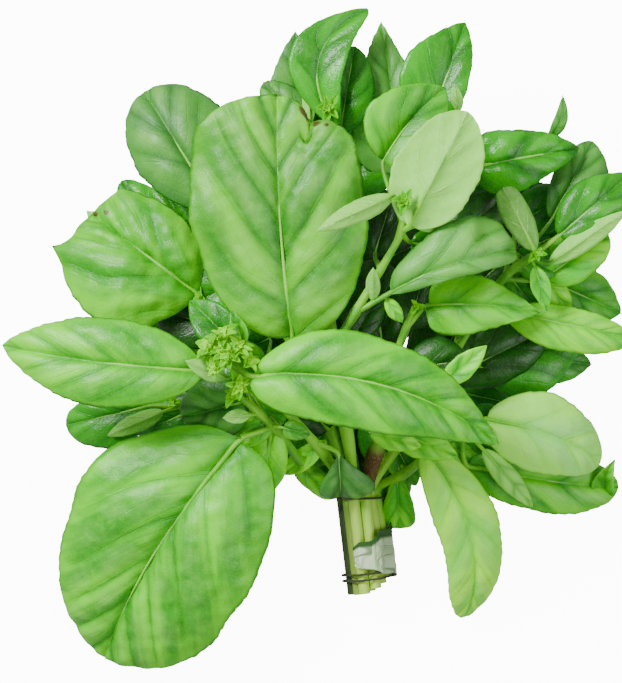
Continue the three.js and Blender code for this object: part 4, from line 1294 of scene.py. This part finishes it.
def make_sprig(number, sprig):
    """A sprig's pieces: its leaves, its stem with the leaf stalks, and each cluster of young leaves."""
    name = sprig.node.removeprefix("sprig_")
    shell = Shell()
    for k, leaf in enumerate(sprig.leaves):
        add_blade(shell, leaf, 100 * number + k)
    piece(name + "_leaves", shell.mesh(name + "_leaves"), LEAF, (sprig.node,))

    lines, girth, fresh, stalk = zip(*stalk_lines(sprig))
    mesh = line_mesh(name + "_lines", lines)
    stem = lines[0]
    bark = np.interp(stem[:, 1], WOODY_SPAN, (0, 1, 1, 0)) * (sprig.node == WOODY_SPRIG)
    # painted shade: the outer stems at the left are darkened below the neck
    dim = max(0, 1 - from_left(sprig)) * np.interp(stem[:, 1], PAINTED_SHADE_SPAN, (1, 0))
    rest = [np.zeros(len(mesh.vertices) - len(stem))]  # the leaf stalks have no bark and no painted shade
    girth = (girth[0] * (1 + WOODY_SWELL * bark), *girth[1:])
    values = {"girth": girth, "fresh": fresh, "stalk": stalk, "woody": [bark, *rest], "dim": [dim, *rest]}
    for title, parts in values.items():
        value = np.concatenate(parts) * (MM if title == "girth" else 1)
        mesh.attributes.new(title, "FLOAT", "POINT").data.foreach_set("value", value)
    piece(name + "_stem", grown(name + "_stem", mesh, STALKS, {"Skin": STEM}), STEM, ())

    for k, head in enumerate((sprig.head, *sprig.buds)):
        title = f"{name}_head_{k}"
        settings = {
            "Leaflet": LEAFLET,
            "Count": round(head.count * HEAD_DENSITY),
            "Size": head.size / LEAFLET_LENGTH,
            "Turn": Vector(head.lean).to_track_quat("Z", "Y").to_euler(),
            "Place": tuple(MM * c for c in head.at),
            "Outer tone": YOUNG_OUTER,
            "Inner tone": YOUNG_BRIGHT if sprig.buds else YOUNG_INNER,
            "Chance": 10 * number + k,
            "Skin": YOUNG,
        }
        seed = bpy.data.meshes.new(title + "_seed")
        piece(title, grown(title, seed, HEADS, settings), YOUNG, ())


for number, sprig in enumerate(SPRIGS, 1):
    make_sprig(number, sprig)
bpy.data.objects.remove(LEAFLET)


# The bundle's threads, strip and cut ends

BUNDLE_CORNERS = [slot(-1, 0), slot(1, 0), slot(1.5, 1), slot(0.5, 3), slot(-0.5, 3), slot(-1.5, 1)]


def bundle_outline(distance):
    """The outline round the bundle at a distance from its outer stems' middles: x and z."""
    points = []
    count = len(BUNDLE_CORNERS)
    for k, (x, z) in enumerate(BUNDLE_CORNERS):
        from_x, from_z = BUNDLE_CORNERS[k - 1]
        to_x, to_z = BUNDLE_CORNERS[(k + 1) % count]
        first = math.atan2(z - from_z, x - from_x) - math.pi / 2
        last = math.atan2(to_z - z, to_x - x) - math.pi / 2
        while last < first:
            last += 2 * math.pi
        for i in range(CORNER_STEPS + 1):
            angle = first + (last - first) * i / CORNER_STEPS
            points.append((x + distance * math.cos(angle), z + distance * math.sin(angle)))
    return np.array(points)


def turn_line(y, slant=0.0):
    """One turn of thread round the bundle as a closed loop of points."""
    outline = bundle_outline(THREAD_INNER + THREAD / 2)
    return np.array([in_bundle((x, z), y) + (0, slant * x, 0) for x, z in outline])


TURNS = {"neck_thread": [turn_line(0)], "lower_thread": [turn_line(y, LOWER_SLANT) for y in LOWER_TURNS]}
for node, loops in TURNS.items():
    line = line_mesh(node + "_line", loops, closed=True)
    twist = grown(node + "_twist", line, TWISTED, {"Skin": THREAD_SKIN})
    piece(node + "_twist", twist, THREAD_SKIN, (node,))


def make_strip():
    """The pale strip: a limp sheet round the right of the stump, with folds and ragged edges."""
    rng = np.random.default_rng(71)
    outline = bundle_outline(STRIP_INNER + STRIP_THICKNESS / 2)
    down, over = np.linspace(0, 1, STRIP_ROWS + 1), np.linspace(0, 1, STRIP_COLUMNS + 1)
    t, q = np.meshgrid(down, over, indexing="ij")
    place = (STRIP_SPAN[0] + (STRIP_SPAN[1] - STRIP_SPAN[0]) * q) * len(outline)
    steps = np.arange(len(outline))
    x = np.interp(place, steps, outline[:, 0])
    z = np.interp(place, steps, outline[:, 1])
    ragged = waves(np.stack((place * 0.4, t * 0), -1), rng, (9, 3.7))
    top = STRIP_TOP[0] + (STRIP_TOP[1] - STRIP_TOP[0]) * q + STRIP_RAGGED[0] * ragged
    end = STRIP_END[0] + (STRIP_END[1] - STRIP_END[0]) * q - STRIP_RAGGED[1] * ragged
    y = top + (end - top) * t
    middle = in_bundle((x, z), y)
    facing = surface_normals(middle)
    flat = np.stack((place * 1.1, y), -1)
    folds = waves(flat, rng, (15, 9))
    crease = np.exp(-((folds / 0.07) ** 2))
    relief = 0.55 * np.abs(folds) * 2 - 0.35 + 0.25 * waves(flat, rng, (5, 3))
    middle = middle + facing * relief[..., None]
    facing = surface_normals(middle)
    shell = Shell()
    shell.add(
        np.concatenate([(middle + facing * s * STRIP_SHEET / 2).reshape(-1, 3) for s in (1, -1)]),
        grid_faces(STRIP_ROWS, STRIP_COLUMNS),
        place=both_sides(flat[..., 0], t, crease),
    )
    piece("pale_strip_fold", shell.mesh("pale_strip_fold"), STRIP_SKIN, ("pale_strip",))


make_strip()


def make_cut_ends():
    """A thin crowned cap on the cut end of every stem, with ridges like the stem's. In its very middle, and
    behind it, the stem's own end closes it."""
    shell = Shell()
    share, angle = np.meshgrid(
        np.arange(1, CUT_RINGS + 1) / CUT_RINGS, np.arange(CUT_SIDES) * 2 * math.pi / CUT_SIDES, indexing="ij"
    )
    radius = STEM_RADIUS * CUT_COVER * share * (1 + RIDGE * np.cos(RIDGES * angle) * share)
    crown = CUT_CROWN * (1 - share**4)
    inner, side = np.meshgrid(np.arange(CUT_RINGS - 1) * CUT_SIDES, np.arange(CUT_SIDES), indexing="ij")
    after = inner + (side + 1) % CUT_SIDES
    here = inner + side
    faces = np.stack((here, after, after + CUT_SIDES, here + CUT_SIDES), -1).reshape(-1, 4)
    for sprig in SPRIGS:
        start, above = stem_bend(sprig).line[:2]
        ahead = unit(above - start)
        right = unit(np.cross(ahead, UP))
        upward = np.cross(right, ahead)
        round_stem = np.cos(angle)[..., None] * right + np.sin(angle)[..., None] * upward
        points = start - ahead * crown[..., None] + round_stem * radius[..., None]
        place = np.stack((share, points[..., 0], points[..., 2]), -1)
        shell.add(points.reshape(-1, 3), faces, place=place.reshape(-1, 3))
    piece("cut_ends", shell.mesh("cut_ends"), CUT, ())


make_cut_ends()


# Stage


def make_camera():
    """A camera that looks straight down, with the lens that gives the photograph's framing."""
    lens = bpy.data.cameras.new("camera")
    lens.sensor_fit = "HORIZONTAL"
    lens.sensor_width = SENSOR
    lens.lens = SENSOR * (CAMERA_HEIGHT - LEAF_HEIGHT) / (PHOTO_SIZE[0] * PIXEL)
    lens.clip_start, lens.clip_end = 0.05, 20
    camera = bpy.data.objects.new("camera", lens)
    x = (PHOTO_SIZE[0] / 2 - ORIGIN_PIXEL[0]) * PIXEL
    y = (ORIGIN_PIXEL[1] - PHOTO_SIZE[1] / 2) * PIXEL
    camera.location = (x * MM, y * MM, CAMERA_HEIGHT * MM)
    bpy.context.scene.collection.objects.link(camera)
    bpy.context.scene.camera = camera


def make_light(name, place, size, power):
    data = bpy.data.lights.new(name, "AREA")
    data.shape, data.size, data.energy = "DISK", size, power
    light = bpy.data.objects.new(name, data)
    light.location = place
    light.rotation_euler = (Vector(LIGHT_AIM) - Vector(place)).to_track_quat("-Z", "Y").to_euler()
    bpy.context.scene.collection.objects.link(light)


def make_stage():
    """The white table, the soft light of the room, and the lights."""
    mesh = bpy.data.meshes.new("table_top")
    half = TABLE_HALF
    corners = [(-half, -half, 0), (half, -half, 0), (half, half, 0), (-half, half, 0)]
    mesh.from_pydata(corners, [], [(0, 1, 2, 3)])
    skin = bpy.data.materials.new("table_white")
    skin.use_nodes = True
    finish = {"Base Color": (0.9, 0.9, 0.9, 1), "Roughness": 0.9, "Emission Color": (1, 1, 1, 1)}
    for title, value in {**finish, "Emission Strength": TABLE_GLOW}.items():
        skin.node_tree.nodes["Principled BSDF"].inputs[title].default_value = value
    mesh.materials.append(skin)
    floor = bpy.data.objects.new("table_top", mesh)
    bpy.context.scene.collection.objects.link(floor)
    floor.visible_diffuse = floor.visible_glossy = False  # its glow would whiten every leaf margin
    world = bpy.data.worlds.new("soft_room")
    world.use_nodes = True
    sky = world.node_tree.nodes["Background"].inputs
    sky["Color"].default_value, sky["Strength"].default_value = (1, 1, 1, 1), ROOM_LIGHT
    bpy.context.scene.world = world
    for light in LIGHTS:
        make_light(*light)


make_camera()
make_stage()
